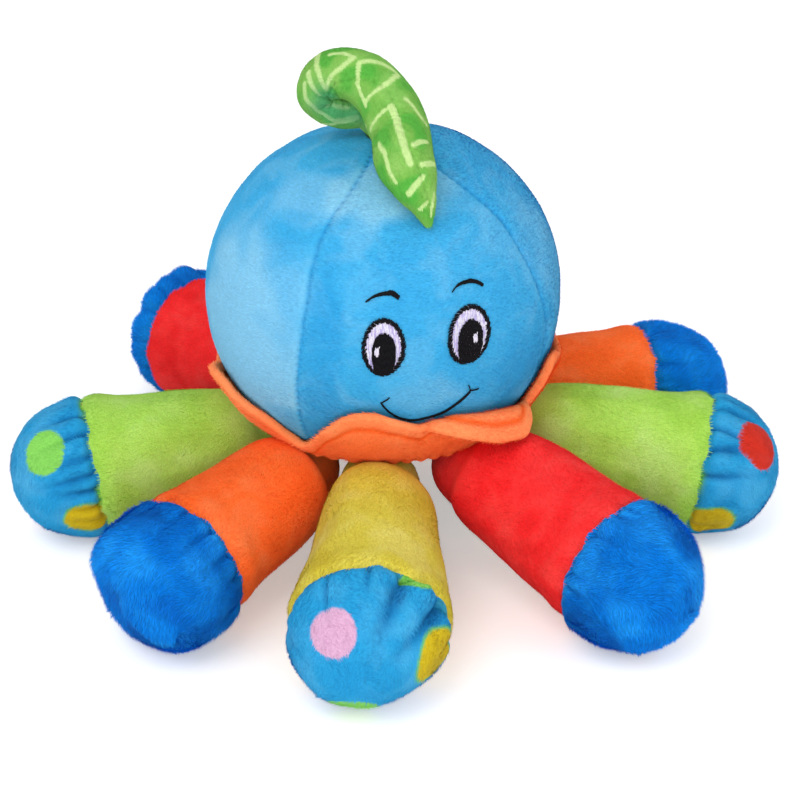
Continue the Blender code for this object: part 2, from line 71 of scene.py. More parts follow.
def add(
    tree: bpy.types.NodeTree,
    kind: str,
    settings: dict[str, object] | None = None,
    links: dict[str | int, object] | None = None,
) -> bpy.types.Node:
    """Add a node with its settings and links.

    Args:
        tree: The tree that the node goes into.
        kind: The node's type name.
        settings: Attributes to set on the node.
        links: For each input, by name or number, a socket to link or a value to set.

    Returns:
        The new node.
    """
    node = tree.nodes.new(kind)
    for name, value in (settings or {}).items():
        setattr(node, name, value)
    for name, value in (links or {}).items():
        socket = node.inputs[name]
        if isinstance(value, bpy.types.NodeSocket):
            tree.links.new(value, socket)
        else:
            socket.default_value = value
    return node


def lumps(points: np.ndarray, size: float, seed: float) -> np.ndarray:
    """Smooth random heights from -1 to 1 over points in space.

    Args:
        points: Points, with their coordinates on the last axis.
        size: The distance over which a height changes.
        seed: Moves the pattern, so that pieces differ.

    Returns:
        One height for each point.
    """
    flat = points.reshape(-1, 3) / size + seed * 17.3
    heights = np.fromiter((noise.noise(Vector(point)) for point in flat), float, len(flat))
    return heights.reshape(points.shape[:-1])


def smoothstep(low: float, high: float, values: np.ndarray) -> np.ndarray:
    """A soft step from 0 at low to 1 at high."""
    share = np.clip((values - low) / (high - low), 0, 1)
    return share * share * (3 - 2 * share)


def smooth_course(knots: np.ndarray, share: np.ndarray) -> np.ndarray:
    """Read values from a smooth curve through evenly spaced knots.

    Args:
        knots: One row of values for each knot.
        share: How far along the knots each value is wanted, from 0 to 1.

    Returns:
        One row of values for each share.
    """
    last = len(knots) - 1
    place = np.minimum(share * last, last - 1e-9)
    i = place.astype(int)
    t = (place - i)[:, None]
    a, b = knots[np.maximum(i - 1, 0)], knots[i]
    c, d = knots[i + 1], knots[np.minimum(i + 2, last)]
    return 0.5 * (2 * b + (c - a) * t + (2 * a - 5 * b + 4 * c - d) * t**2 + (3 * b - a - 3 * c + d) * t**3)


def distance_to(course: np.ndarray, across: np.ndarray, up: np.ndarray) -> np.ndarray:
    """The distance of every place from a course of straight steps.

    Args:
        course: The course's knots, each across and up.
        across: The places' first coordinate.
        up: Their second coordinate.

    Returns:
        The distances.
    """
    nearest = np.full(np.broadcast(across, up).shape, np.inf)
    for start, end in zip(course[:-1], course[1:]):
        step = end - start
        share = ((across - start[0]) * step[0] + (up - start[1]) * step[1]) / max(float(step @ step), 1e-18)
        share = np.clip(share, 0, 1)
        away = np.hypot(across - start[0] - share * step[0], up - start[1] - share * step[1])
        nearest = np.minimum(nearest, away)
    return nearest


def outwards_at(azimuth: np.ndarray, latitude: np.ndarray) -> np.ndarray:
    """Unit directions at azimuths and latitudes in degrees.

    Args:
        azimuth: Degrees round from the face.
        latitude: Degrees above the head's middle.

    Returns:
        The directions.
    """
    turn = np.radians(azimuth)
    rise = np.radians(latitude)
    parts = (np.sin(turn) * np.cos(rise), -np.cos(turn) * np.cos(rise), np.sin(rise))
    return np.stack(np.broadcast_arrays(*parts), axis=-1)


def grid_mesh(
    name: str,
    points: np.ndarray,
    closed_round: bool = False,
    poles: tuple[np.ndarray | None, np.ndarray | None] = (None, None),
    values: dict[str, np.ndarray] | None = None,
) -> bpy.types.Mesh:
    """A mesh over a grid of points, rows first.

    Args:
        name: The mesh's name.
        points: Rows by columns by 3.
        closed_round: Whether the last column joins the first.
        poles: A point that closes the first row, and one that closes the last.
        values: Attributes by name: a number, or a vector, for each point of the grid.

    Returns:
        The mesh.
    """
    rows, columns = points.shape[:2]
    steps = np.arange(columns if closed_round else columns - 1)
    nexts = (steps + 1) % columns
    faces = []
    for row in range(rows - 1):
        low, high = row * columns, (row + 1) * columns
        faces += np.stack((low + steps, low + nexts, high + nexts, high + steps), axis=1).tolist()
    vertices = points.reshape(-1, 3)
    extra = []
    for pole, row, forward in ((poles[0], 0, False), (poles[1], rows - 1, True)):
        if pole is None:
            continue
        tip = len(vertices) + len(extra)
        extra.append(pole)
        first, second = (steps, nexts) if forward else (nexts, steps)
        base = row * columns
        faces += [[base + a, base + b, tip] for a, b in zip(first.tolist(), second.tolist())]
    if extra:
        vertices = np.concatenate([vertices, np.array(extra)])
    mesh = bpy.data.meshes.new(name)
    mesh.from_pydata(vertices.tolist(), [], faces)
    for value_name, value in (values or {}).items():
        is_vector = value.ndim == 3
        flat = value.reshape(-1, 3) if is_vector else value.reshape(-1)
        if extra:
            padding = np.repeat(flat[-1:], len(extra), axis=0)
            flat = np.concatenate([flat, padding])
        kind = "FLOAT_VECTOR" if is_vector else "FLOAT"
        attribute = mesh.attributes.new(value_name, kind, "POINT")
        attribute.data.foreach_set("vector" if is_vector else "value", flat.astype(np.float32).ravel())
    mesh.shade_smooth()
    return mesh


def new_piece(name: str, mesh: bpy.types.Mesh, material: bpy.types.Material) -> bpy.types.Object:
    """An object in the scene, of one material, at the origin.

    Args:
        name: The object's name.
        mesh: Its mesh.
        material: Its faces' material.

    Returns:
        The object.
    """
    piece = bpy.data.objects.new(name, mesh)
    bpy.context.scene.collection.objects.link(piece)
    mesh.materials.clear()
    mesh.materials.append(material)
    return piece


class Cloth(Enum):
    """The cloths and threads that the toy is made of, by the record's slot."""

    BLUE = "blue_plush"
    ORANGE = "orange_plush"
    YELLOW = "yellow_plush"
    RED = "red_plush"
    LIME = "lime_plush"
    DOTTED = "light_blue_dotted_plush"
    ROYAL = "royal_blue_fur"
    PRINT = "green_print"
    BLACK = "black_thread"
    WHITE = "white_thread"
    # White thread drawn lilac: painted shade.
    WHITE_IN_PAINTED_SHADE = "white_thread_in_painted_shade"
    FILLING = "filling"


@dataclass(frozen=True)
class PileFinish:
    """Brushed polyester pile: matt, with lighter and darker patches where the nap lies
    another way, painted light and shade laid on through the paler and deeper attributes,
    fine fibre streaks and a pale bloom at grazing angles.

    Attributes:
        name: The material's name.
        base: The cloth's colour.
        brushed: Its colour where the nap lies towards the light, also used for painted light.
        shade: Its colour where the nap lies away, also used for painted shade.
        cloud: How strongly the nap's own patches show.
        patch: The size of those patches.
        tuft: The size of a tuft of fibres, drawn coarse enough to show.
        grain: How much finer the fibres are drawn along each axis.
        relief: How high the tufts stand.
        strands: How much the modelled tufts differ in tone; half of it darkens the cloth beneath them as painted shade.
        sheen: The strength of the bloom.
        prints: Attributes of the cloth that carry a print or a painted shade, each with its colour.
        roughness: How matt the fibres are.
        shine: How strongly they reflect.
    """

    name: str
    base: str
    brushed: str
    shade: str
    cloud: float = 0.4
    patch: float = 0.018
    tuft: float = 0.0007
    grain: tuple[float, float, float] = (1.0, 1.0, 1.0)
    relief: float = 0.0004
    strands: float = 0.12
    sheen: float = 0.18
    prints: tuple[tuple[str, str], ...] = ()
    roughness: float = 0.92
    shine: float = 0.15

    def make(self) -> bpy.types.Material:
        """Build the material.

        Returns:
            The material.
        """
        material = bpy.data.materials.new(self.name)
        material.use_nodes = True
        tree = material.node_tree
        shader = tree.nodes["Principled BSDF"]
        place = add(tree, "ShaderNodeTexCoord").outputs["Object"]
        # Broad soft patches: where a hand last smoothed the pile
        patches = add(
            tree,
            "ShaderNodeTexNoise",
            links={"Vector": place, "Scale": 1 / self.patch, "Detail": 3.0, "Roughness": 0.55, "Distortion": 0.6},
        ).outputs["Fac"]
        brushed = add(
            tree,
            "ShaderNodeMapRange",
            links={"Value": patches, "From Min": 0.50, "From Max": 0.68, "To Max": self.cloud},
        )
        shaded = add(
            tree,
            "ShaderNodeMapRange",
            links={"Value": patches, "From Min": 0.48, "From Max": 0.34, "To Max": self.cloud},
        )
        # The nap's patches, the paler and deeper attributes (the nap's random tones with painted light and shade), then
        # its prints and painted shades, each laid over the last
        layers = [(brushed.outputs["Result"], self.brushed), (shaded.outputs["Result"], self.shade)]
        for attribute_name, hex_colour in (("paler", self.brushed), ("deeper", self.shade), *self.prints):
            amount = add(tree, "ShaderNodeAttribute", {"attribute_name": attribute_name})
            layers.append((amount.outputs["Fac"], hex_colour))
        colour = (*linear(self.base), 1)
        for amount, hex_colour in layers:
            over = (*linear(hex_colour), 1)
            mix = add(tree, "ShaderNodeMix", {"data_type": "RGBA"}, {"Factor": amount, 6: colour, 7: over})
            colour = mix.outputs[2]
        # Fibre streaks, which keep the cloth from looking like skin or plastic
        drawn = add(tree, "ShaderNodeMapping", links={"Vector": place, "Scale": self.grain})
        fibres = add(
            tree,
            "ShaderNodeTexNoise",
            links={"Vector": drawn.outputs[0], "Scale": 1 / self.tuft, "Detail": 2.0, "Roughness": 0.7},
        ).outputs["Fac"]
        streak = add(
            tree,
            "ShaderNodeMapRange",
            links={"Value": fibres, "From Min": 0.3, "From Max": 0.7, "To Min": 0.88, "To Max": 1.1},
        )
        # Each tuft takes a random tone; the cloth below, which has no tuft value, is drawn darker by half the strands'
        # spread: painted shade beneath the pile.
        tuft = add(tree, "ShaderNodeAttribute", {"attribute_name": "tuft"})
        tone = add(
            tree,
            "ShaderNodeMapRange",
            links={"Value": tuft.outputs["Fac"], "To Min": 1 - self.strands / 2, "To Max": 1 + self.strands},
        )
        both = add(
            tree,
            "ShaderNodeMath",
            {"operation": "MULTIPLY"},
            {0: streak.outputs["Result"], 1: tone.outputs["Result"]},
        )
        spotted = add(tree, "ShaderNodeVectorMath", {"operation": "SCALE"}, {0: colour, "Scale": both.outputs[0]})
        tree.links.new(spotted.outputs[0], shader.inputs["Base Color"])
        bump = add(tree, "ShaderNodeBump", links={"Height": fibres, "Strength": 0.5, "Distance": self.relief})
        tree.links.new(bump.outputs[0], shader.inputs["Normal"])
        # Matt fibres: no gloss, and a pale bloom where the cloth turns away from the eye
        shader.inputs["Roughness"].default_value = self.roughness
        shader.inputs["Specular IOR Level"].default_value = self.shine
        shader.inputs["Sheen Weight"].default_value = self.sheen
        shader.inputs["Sheen Roughness"].default_value = 0.45
        shader.inputs["Sheen Tint"].default_value = (*linear(self.brushed), 1)
        return material


@dataclass(frozen=True)
class ThreadFinish:
    """Rayon embroidery thread: smooth and twisted, so each stitch carries a highlight, part of it painted along the
    twist.
    """

    name: str
    base: str
    lit: str
    roughness: float = 0.5
    shine: float = 0.3

    def make(self) -> bpy.types.Material:
        """Build the material.

        Returns:
            The material.
        """
        material = bpy.data.materials.new(self.name)
        material.use_nodes = True
        tree = material.node_tree
        shader = tree.nodes["Principled BSDF"]
        place = add(tree, "ShaderNodeTexCoord").outputs["Object"]
        # Lighter stretches along the twist: the base mixed towards the lit colour is a painted highlight on each
        # strand; the same noise raises the twist's relief.
        twist_and_highlight = add(tree, "ShaderNodeTexNoise", links={"Vector": place, "Scale": 1 / 0.0006, "Detail": 1.0})
        colour = add(
            tree,
            "ShaderNodeMix",
            {"data_type": "RGBA"},
            {"Factor": twist_and_highlight.outputs["Fac"], 6: (*linear(self.base), 1), 7: (*linear(self.lit), 1)},
        ).outputs[2]
        tree.links.new(colour, shader.inputs["Base Color"])
        bump = add(
            tree,
            "ShaderNodeBump",
            links={"Height": twist_and_highlight.outputs["Fac"], "Strength": 0.4, "Distance": 0.0001},
        )
        tree.links.new(bump.outputs[0], shader.inputs["Normal"])
        shader.inputs["Roughness"].default_value = self.roughness
        shader.inputs["Specular IOR Level"].default_value = self.shine
        return material


# The dotted cloth's colours by attribute: the crease colour is painted shade in the feet's folds; the halo and the dots
# are print.
DOT_PRINTS_AND_CREASE_SHADE = (
    ("crease", "1274B2"),
    ("halo", "6FC04A"),
    ("pink_dot", "D6A8C8"),
    ("yellow_dot", "CEB41A"),
    ("green_dot", "86CF5C"),
    ("red_dot", "D03222"),
)

FINISHES = {
    Cloth.BLUE: PileFinish(
        "short_pile_plush_blue", "3CA8DC", "84C4E4", "2294D0", cloud=0.25, grain=(0.4, 0.4, 1.5), sheen=0.08
    ),
    Cloth.ORANGE: PileFinish("short_pile_plush_orange", "FE6E2C", "FF9058", "F25A14", cloud=0.3, sheen=0.1),
    Cloth.YELLOW: PileFinish("short_pile_plush_yellow", "DACA48", "E8DC7A", "CDB82C", cloud=0.3, sheen=0.1),
    Cloth.RED: PileFinish("short_pile_plush_red", "F2282A", "FA4C48", "DC1014", cloud=0.35, sheen=0.06),
    Cloth.LIME: PileFinish("short_pile_plush_lime", "AEDC5C", "C4E688", "98CC42", cloud=0.3, sheen=0.1),
    Cloth.DOTTED: PileFinish(
        "dotted_fleece_light_blue", "249AD0", "5EB8E2", "188AC6", cloud=0.25, sheen=0.06, prints=DOT_PRINTS_AND_CREASE_SHADE
    ),
    Cloth.ROYAL: PileFinish(
        "long_pile_fur_royal_blue", "007CD8", "1C9AEC", "0068C6", cloud=0.4, tuft=0.0005, sheen=0.03, strands=0.34
    ),
    Cloth.PRINT: PileFinish(
        "printed_velour_green",
        "78B44E",
        "92C464",
        "4CAA3C",
        cloud=0.5,
        prints=(("stroke", "C0DE92"), ("inside", "2F9468")),
        tuft=0.0005,
    ),
    Cloth.BLACK: ThreadFinish("rayon_thread_black", "050406", "121016", 0.6, 0.12),
    Cloth.WHITE: ThreadFinish("rayon_thread_white", "C9C2DA", "E8E6EE"),
    # White thread drawn lilac: painted shade.
    Cloth.WHITE_IN_PAINTED_SHADE: ThreadFinish("rayon_thread_white_in_painted_shade", "A093CC", "C4BADF"),
    Cloth.FILLING: PileFinish("polyester_fibre_filling", "EFEFEA", "FFFFFF", "DADAD4", tuft=0.002),
}


class PileTree:
    """Geometry Nodes that set short tufts of pile over a cloth, lying along its nap."""

    def __init__(self) -> None:
        """Build the tree once; each cloth's modifier then uses it."""
        self.tree = bpy.data.node_groups.new("pile", "GeometryNodeTree")
        face = self.tree.interface
        face.new_socket("Geometry", in_out="INPUT", socket_type="NodeSocketGeometry")
        self.sockets = {}
        for name, kind in (
            ("Density", "NodeSocketFloat"),
            ("Length", "NodeSocketFloat"),
            ("Width", "NodeSocketFloat"),
            ("Lean", "NodeSocketFloat"),
            ("Tangle", "NodeSocketFloat"),
            ("Material", "NodeSocketMaterial"),
        ):
            self.sockets[name] = face.new_socket(name, in_out="INPUT", socket_type=kind).identifier
        rows = face.new_socket("Rows", in_out="INPUT", socket_type="NodeSocketInt")
        rows.default_value = 2
        self.sockets["Rows"] = rows.identifier
        face.new_socket("Geometry", in_out="OUTPUT", socket_type="NodeSocketGeometry")
        self._fill()

    def _fill(self) -> None:
        """Add the nodes and their links."""
        tree = self.tree
        given = add(tree, "NodeGroupInput").outputs
        bare = add(tree, "GeometryNodeInputNamedAttribute", {"data_type": "FLOAT"}, {"Name": "bare"})
        clad = add(tree, "ShaderNodeMath", {"operation": "SUBTRACT"}, {0: 1.0, 1: bare.outputs[0]})
        density = add(
            tree, "ShaderNodeMath", {"operation": "MULTIPLY"}, {0: clad.outputs[0], 1: given["Density"]}
        )
        spread = add(
            tree,
            "GeometryNodeDistributePointsOnFaces",
            links={"Mesh": given["Geometry"], "Density": density.outputs[0], "Seed": 7},
        )
        nap = add(tree, "GeometryNodeInputNamedAttribute", {"data_type": "FLOAT_VECTOR"}, {"Name": "nap"})
        stray = add(
            tree,
            "FunctionNodeRandomValue",
            {"data_type": "FLOAT_VECTOR"},
            {0: (-1.0, -1.0, -1.0), 1: (1.0, 1.0, 1.0), "Seed": 3},
        )
        leaning = add(
            tree, "ShaderNodeVectorMath", {"operation": "SCALE"}, {0: nap.outputs[0], "Scale": given["Lean"]}
        )
        strayed = add(
            tree, "ShaderNodeVectorMath", {"operation": "SCALE"}, {0: stray.outputs[0], "Scale": given["Tangle"]}
        )
        upright = add(
            tree,
            "ShaderNodeVectorMath",
            {"operation": "ADD"},
            {0: spread.outputs["Normal"], 1: leaning.outputs[0]},
        )
        way = add(tree, "ShaderNodeVectorMath", {"operation": "ADD"}, {0: upright.outputs[0], 1: strayed.outputs[0]})
        along = add(tree, "FunctionNodeAlignRotationToVector", {"axis": "Y"}, {"Vector": way.outputs[0]})
        facing = add(
            tree,
            "FunctionNodeAlignRotationToVector",
            {"axis": "Z", "pivot_axis": "Y"},
            {"Rotation": along.outputs[0], "Vector": spread.outputs["Normal"]},
        )
        blade = add(
            tree,
            "GeometryNodeMeshGrid",
            links={"Size X": given["Width"], "Size Y": given["Length"], "Vertices X": 2, "Vertices Y": given["Rows"]},
        )
        spot = add(tree, "GeometryNodeInputPosition")
        parts = add(tree, "ShaderNodeSeparateXYZ", links={0: spot.outputs[0]})
        share = add(
            tree, "ShaderNodeMath", {"operation": "DIVIDE"}, {0: parts.outputs["Y"], 1: given["Length"]}
        )
        risen = add(tree, "ShaderNodeMath", {"operation": "ADD"}, {0: share.outputs[0], 1: 0.5})
        narrow = add(
            tree,
            "ShaderNodeMapRange",
            links={"Value": risen.outputs[0], "To Min": 1.0, "To Max": 0.12},
        )
        x = add(tree, "ShaderNodeMath", {"operation": "MULTIPLY"}, {0: parts.outputs["X"], 1: narrow.outputs[0]})
        y = add(tree, "ShaderNodeMath", {"operation": "MULTIPLY"}, {0: risen.outputs[0], 1: given["Length"]})
        curl = add(tree, "ShaderNodeMath", {"operation": "MULTIPLY"}, {0: risen.outputs[0], 1: risen.outputs[0]})
        droop = add(tree, "ShaderNodeMath", {"operation": "MULTIPLY"}, {0: curl.outputs[0], 1: given["Length"]})
        z = add(tree, "ShaderNodeMath", {"operation": "MULTIPLY"}, {0: droop.outputs[0], 1: -0.18})
        bent = add(
            tree, "ShaderNodeCombineXYZ", links={0: x.outputs[0], 1: y.outputs[0], 2: z.outputs[0]}
        )
        shaped = add(
            tree,
            "GeometryNodeSetPosition",
            links={"Geometry": blade.outputs["Mesh"], "Position": bent.outputs[0]},
        )
        size = add(tree, "FunctionNodeRandomValue", {"data_type": "FLOAT"}, {2: 0.6, 3: 1.25, "Seed": 11})
        tufts = add(
            tree,
            "GeometryNodeInstanceOnPoints",
            links={
                "Points": spread.outputs["Points"],
                "Instance": shaped.outputs["Geometry"],
                "Rotation": facing.outputs[0],
                "Scale": size.outputs[1],
            },
        )
        tone = add(tree, "FunctionNodeRandomValue", {"data_type": "FLOAT"}, {2: 0.0, 3: 1.0, "Seed": 5})
        toned = add(
            tree,
            "GeometryNodeStoreNamedAttribute",
            {"data_type": "FLOAT", "domain": "INSTANCE"},
            {"Geometry": tufts.outputs["Instances"], "Name": "tuft", "Value": tone.outputs[1]},
        )
        real = add(tree, "GeometryNodeRealizeInstances", links={"Geometry": toned.outputs[0]})
        smooth = add(tree, "GeometryNodeSetShadeSmooth", links={"Geometry": real.outputs[0]})
        dressed = add(
            tree,
            "GeometryNodeSetMaterial",
            links={"Geometry": smooth.outputs[0], "Material": given["Material"]},
        )
        add(tree, "NodeGroupOutput", links={"Geometry": dressed.outputs[0]})

    def grow(self, name: str, cloth: bpy.types.Object, sizes: dict[str, float]) -> bpy.types.Object:
        """Grow pile on a cloth as a mesh of its own.

        Args:
            name: The pile piece's name.
            cloth: The cloth, with a nap attribute.
            sizes: The tree's inputs by name.

        Returns:
            The pile, in the cloth's material.
        """
        material = cloth.data.materials[0]
        modifier = cloth.modifiers.new("pile", "NODES")
        modifier.node_group = self.tree
        for key, value in sizes.items():
            modifier[self.sockets[key]] = value
        modifier[self.sockets["Material"]] = material
        graph = bpy.context.evaluated_depsgraph_get()
        mesh = bpy.data.meshes.new_from_object(cloth.evaluated_get(graph), depsgraph=graph)
        cloth.modifiers.remove(modifier)
        mesh.name = name
        return new_piece(name, mesh, material)


class StitchTree:
    """Geometry Nodes that turn short guide lines into threads."""

    def __init__(self) -> None:
        """Build the tree once."""
        self.tree = bpy.data.node_groups.new("stitches", "GeometryNodeTree")
        face = self.tree.interface
        face.new_socket("Geometry", in_out="INPUT", socket_type="NodeSocketGeometry")
        self.radius = face.new_socket("Radius", in_out="INPUT", socket_type="NodeSocketFloat").identifier
        self.material = face.new_socket("Material", in_out="INPUT", socket_type="NodeSocketMaterial").identifier
        face.new_socket("Geometry", in_out="OUTPUT", socket_type="NodeSocketGeometry")
        tree = self.tree
        given = add(tree, "NodeGroupInput").outputs
        line = add(tree, "GeometryNodeMeshToCurve", links={"Mesh": given["Geometry"]})
        ring = add(
            tree, "GeometryNodeCurvePrimitiveCircle", links={"Resolution": 5, "Radius": given["Radius"]}
        )
        thread = add(
            tree,
            "GeometryNodeCurveToMesh",
            links={"Curve": line.outputs[0], "Profile Curve": ring.outputs[0], "Fill Caps": True},
        )
        real = add(tree, "GeometryNodeRealizeInstances", links={"Geometry": thread.outputs[0]})
        smooth = add(tree, "GeometryNodeSetShadeSmooth", links={"Geometry": real.outputs[0]})
        dressed = add(
            tree,
            "GeometryNodeSetMaterial",
            links={"Geometry": smooth.outputs[0], "Material": given["Material"]},
        )
        add(tree, "NodeGroupOutput", links={"Geometry": dressed.outputs[0]})

    def sew(
        self, name: str, lines: list[np.ndarray], radius: float, material: bpy.types.Material
    ) -> bpy.types.Object:
        """Make threads along lines.

        Args:
            name: The piece's name.
            lines: The points of each stitch.
            radius: The thread's radius.
            material: The thread's material.

        Returns:
            The threads as one mesh.
        """
        points: list[list[float]] = []
        edges: list[tuple[int, int]] = []
        for line in lines:
            start = len(points)
            points += line.tolist()
            edges += [(start + i, start + i + 1) for i in range(len(line) - 1)]
        guide = bpy.data.meshes.new(f"{name}_guide")
        guide.from_pydata(points, edges, [])
        holder = bpy.data.objects.new(f"{name}_guide", guide)
        bpy.context.scene.collection.objects.link(holder)
        modifier = holder.modifiers.new("stitches", "NODES")
        modifier.node_group = self.tree
        modifier[self.radius] = radius
        modifier[self.material] = material
        graph = bpy.context.evaluated_depsgraph_get()
        mesh = bpy.data.meshes.new_from_object(holder.evaluated_get(graph), depsgraph=graph)
        bpy.data.objects.remove(holder)
        mesh.name = name
        return new_piece(name, mesh, material)


@dataclass
class Workshop:
    """What every maker of pieces shares: the finishes and the node trees."""

    pile: PileTree = field(default_factory=PileTree)
    stitches: StitchTree = field(default_factory=StitchTree)
    materials: dict[Cloth, bpy.types.Material] = field(default_factory=dict)

    def material(self, cloth: Cloth) -> bpy.types.Material:
        """The material of a cloth, made the first time it is asked for.

        Args:
            cloth: The cloth or thread.

        Returns:
            Its material.
        """
        if cloth not in self.materials:
            self.materials[cloth] = FINISHES[cloth].make()
        return self.materials[cloth]

    def settle(
        self, piece: bpy.types.Object, body: str, cloth: Cloth, nodes: tuple[str, ...] = ()
    ) -> None:
        """Fix a finished piece to its body, and hide the solids that it replaces.

        Args:
            piece: The finished piece.
            body: The body that it moves with.
            cloth: What it is made of; not used.
            nodes: The solids that it replaces.
        """
        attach(piece, body)
        if nodes:
            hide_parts(*nodes)
        log.info("%s: %d faces on %s", piece.name, len(piece.data.polygons), body)


@dataclass(frozen=True)
class Patch:
    """A soft patch of the head where the nap lies another way, or, on the crown, painted light.

    Attributes:
        azimuth: Where it is round the head, in degrees.
        latitude: Its height on the head, in degrees.
        wide: Its half width, in degrees of azimuth.
        tall: Its half height, in degrees.
        tone: How much paler it is, or deeper where negative.
    """

    azimuth: float
    latitude: float
    wide: float
    tall: float
    tone: float


@dataclass
class Head:
    """The ball of the head, its four panels and the bowl that closes it below."""

    radius: float = 0.075
    height: float = 0.1098
    across: float = -0.0047
    back: float = 0.0012
    neck_latitude: float = -36
    crown_latitude: float = 84.2
    crown_dip: float = 0.0045
    seam_dip: float = 0.0014
    seam_width: float = 0.0011
    pucker_pitch: float = 0.0036
    columns: int = 120
    rows: int = 170
    seam_courses: tuple[tuple[float, ...], ...] = (
        (-36, -20, -10, -3, 8, 19, 28, 39, 49, 60, 68, 84),
        (0, 1.5, 2.6, 3.8, 5.0, 5.7, 5.4, 5.2, 7.0, 12.5, 15.5, 17),
        (2, 4.5, 6, 6, 3.4, 0.6, -1.2, -2.4, -6.0, -10.5, -12.4, -14),
    )
    # Where the nap lies another way; the two paler patches at latitude 60 are painted light that brightens the crown.
    patches: tuple[Patch, ...] = (
        Patch(-70, -4, 26, 34, 0.75),
        Patch(-56, 42, 14, 5, -0.3),
        Patch(-60, 50, 22, 12, 0.5),
        Patch(-22, 60, 30, 13, 0.85),
        Patch(-36, 4, 9, 30, -0.6),
        Patch(-26, 44, 10, 9, 0.30),
        Patch(-10, 33, 9, 5, -0.20),
        Patch(12, 60, 34, 12, 0.45),
        Patch(0, -10, 14, 8, 0.3),
        Patch(34, -8, 12, 12, -0.45),
        Patch(36, 36, 8, 12, 0.20),
        Patch(62, 24, 14, 22, 0.25),
        Patch(60, 55, 16, 10, -0.20),
        Patch(140, 20, 26, 22, 0.35),
        Patch(-140, 0, 24, 26, -0.25),
    )
    pile: dict[str, float] = field(
        default_factory=lambda: {
            "Density": 1.6e6,
            "Length": 0.0014,
            "Width": 0.00030,
            "Lean": 2.4,
            "Tangle": 0.3,
        }
    )

    @property
    def middle(self) -> np.ndarray:
        """The middle of the ball."""
        return np.array((self.across, self.back, self.height))

    def warped(self, azimuth: np.ndarray, latitude: np.ndarray) -> np.ndarray:
        """Move azimuths near the two seams beside the face onto the seams' own courses.

        Args:
            azimuth: Degrees round from the face.
            latitude: Degrees above the head's middle.

        Returns:
            The moved azimuths.
        """
        spread = 14 + 14 * smoothstep(28, 62, latitude)
        moved = azimuth.copy()
        for seam, course in ((-45, self.seam_courses[1]), (45, self.seam_courses[2])):
            shift = np.interp(latitude, self.seam_courses[0], course)
            off = (azimuth - seam + 180) % 360 - 180
            moved = moved + shift * np.exp(-((off / spread) ** 2))
        return moved

    def point(self, azimuth: np.ndarray, latitude: np.ndarray, lift: np.ndarray | float = 0) -> np.ndarray:
        """Points on the cloth of the head, or a height above it.

        Args:
            azimuth: Degrees round from the face, with the seams at odd multiples of 45.
            latitude: Degrees above the middle.
            lift: Height above the cloth.

        Returns:
            The points.
        """
        azimuth, latitude = np.broadcast_arrays(np.asarray(azimuth, float), np.asarray(latitude, float))
        off_seam = np.abs((azimuth % 90) - 45) * math.pi / 180
        distance = off_seam * self.radius * np.maximum(np.cos(np.radians(latitude)), 0.05)
        ways = outwards_at(self.warped(azimuth, latitude), latitude)
        along = np.radians(latitude) * self.radius
        groove = np.exp(-((distance / self.seam_width) ** 1.3))
        shoulder = np.exp(-(((distance - 0.0032) / 0.0022) ** 2))
        stitched = 0.75 + 0.35 * np.sin(along / self.pucker_pitch * 2 * math.pi + 1.6 * np.sin(along / 0.017))
        dip = -self.seam_dip * groove * stitched - 0.0005 * np.exp(-((distance / 0.005) ** 2))
        dip = dip + 0.00016 * shoulder * stitched
        dip = dip - self.crown_dip * np.maximum(np.sin(np.radians(latitude)), 0) ** 3
        dip = dip + 0.0007 * lumps(ways * self.radius, 0.030, 1.0) + 0.00022 * lumps(ways * self.radius, 0.009, 2.0)
        return self.middle + ways * (self.radius + dip + lift)[..., None]

    def tones(self, azimuth: np.ndarray, latitude: np.ndarray) -> dict[str, np.ndarray]:
        """How much paler and how much deeper the cloth is at each place.

        Args:
            azimuth: Degrees round from the face.
            latitude: Degrees above the head's middle.

        Returns:
            The attributes paler and deeper.
        """
        azimuth, latitude = np.broadcast_arrays(azimuth, latitude)
        ways = outwards_at(azimuth, latitude)
        edge = 0.35 * lumps(ways * self.radius, 0.012, 8.0) + 0.25 * lumps(ways * self.radius, 0.028, 9.0)
        tone = np.zeros(latitude.shape)
        for patch in self.patches:
            off = (azimuth - patch.azimuth + 180) % 360 - 180
            distance = np.hypot(off / patch.wide, (latitude - patch.latitude) / patch.tall)
            tone = tone + patch.tone * (1 - smoothstep(0.55, 1.25, distance + edge))
        # The left panel's nap catches the light right up to its seam
        beside_seam = 0.30 * smoothstep(-44.6, -45.4, azimuth) * smoothstep(-100, -80, azimuth)
        tone = tone + beside_seam * smoothstep(42, 20, latitude)
        # Painted shade: the cloth is drawn darker along each seam's groove.
        off_seam = np.abs((azimuth % 90) - 45) * math.pi / 180 * self.radius * np.cos(np.radians(latitude))
        tone = tone - 0.35 * np.exp(-((off_seam / 0.0010) ** 2))
        return {"paler": np.clip(tone, 0, 0.9), "deeper": np.clip(-tone, 0, 0.9)}

    def nap(self, points: np.ndarray) -> np.ndarray:
        """The way the pile lies: across the head, swayed in patches.

        Args:
            points: Points on the cloth.

        Returns:
            A unit direction for each point.
        """
        out = points - self.middle
        out = out / np.linalg.norm(out, axis=-1, keepdims=True)
        across = np.cross(out, (0.0, 0.0, 1.0))
        across = across / np.maximum(np.linalg.norm(across, axis=-1, keepdims=True), 1e-6)
        up = np.cross(across, out)
        sway = lumps(points, 0.026, 4.0)[..., None] * 1.5
        lying = across + up * sway
        return lying / np.maximum(np.linalg.norm(lying, axis=-1, keepdims=True), 1e-6)

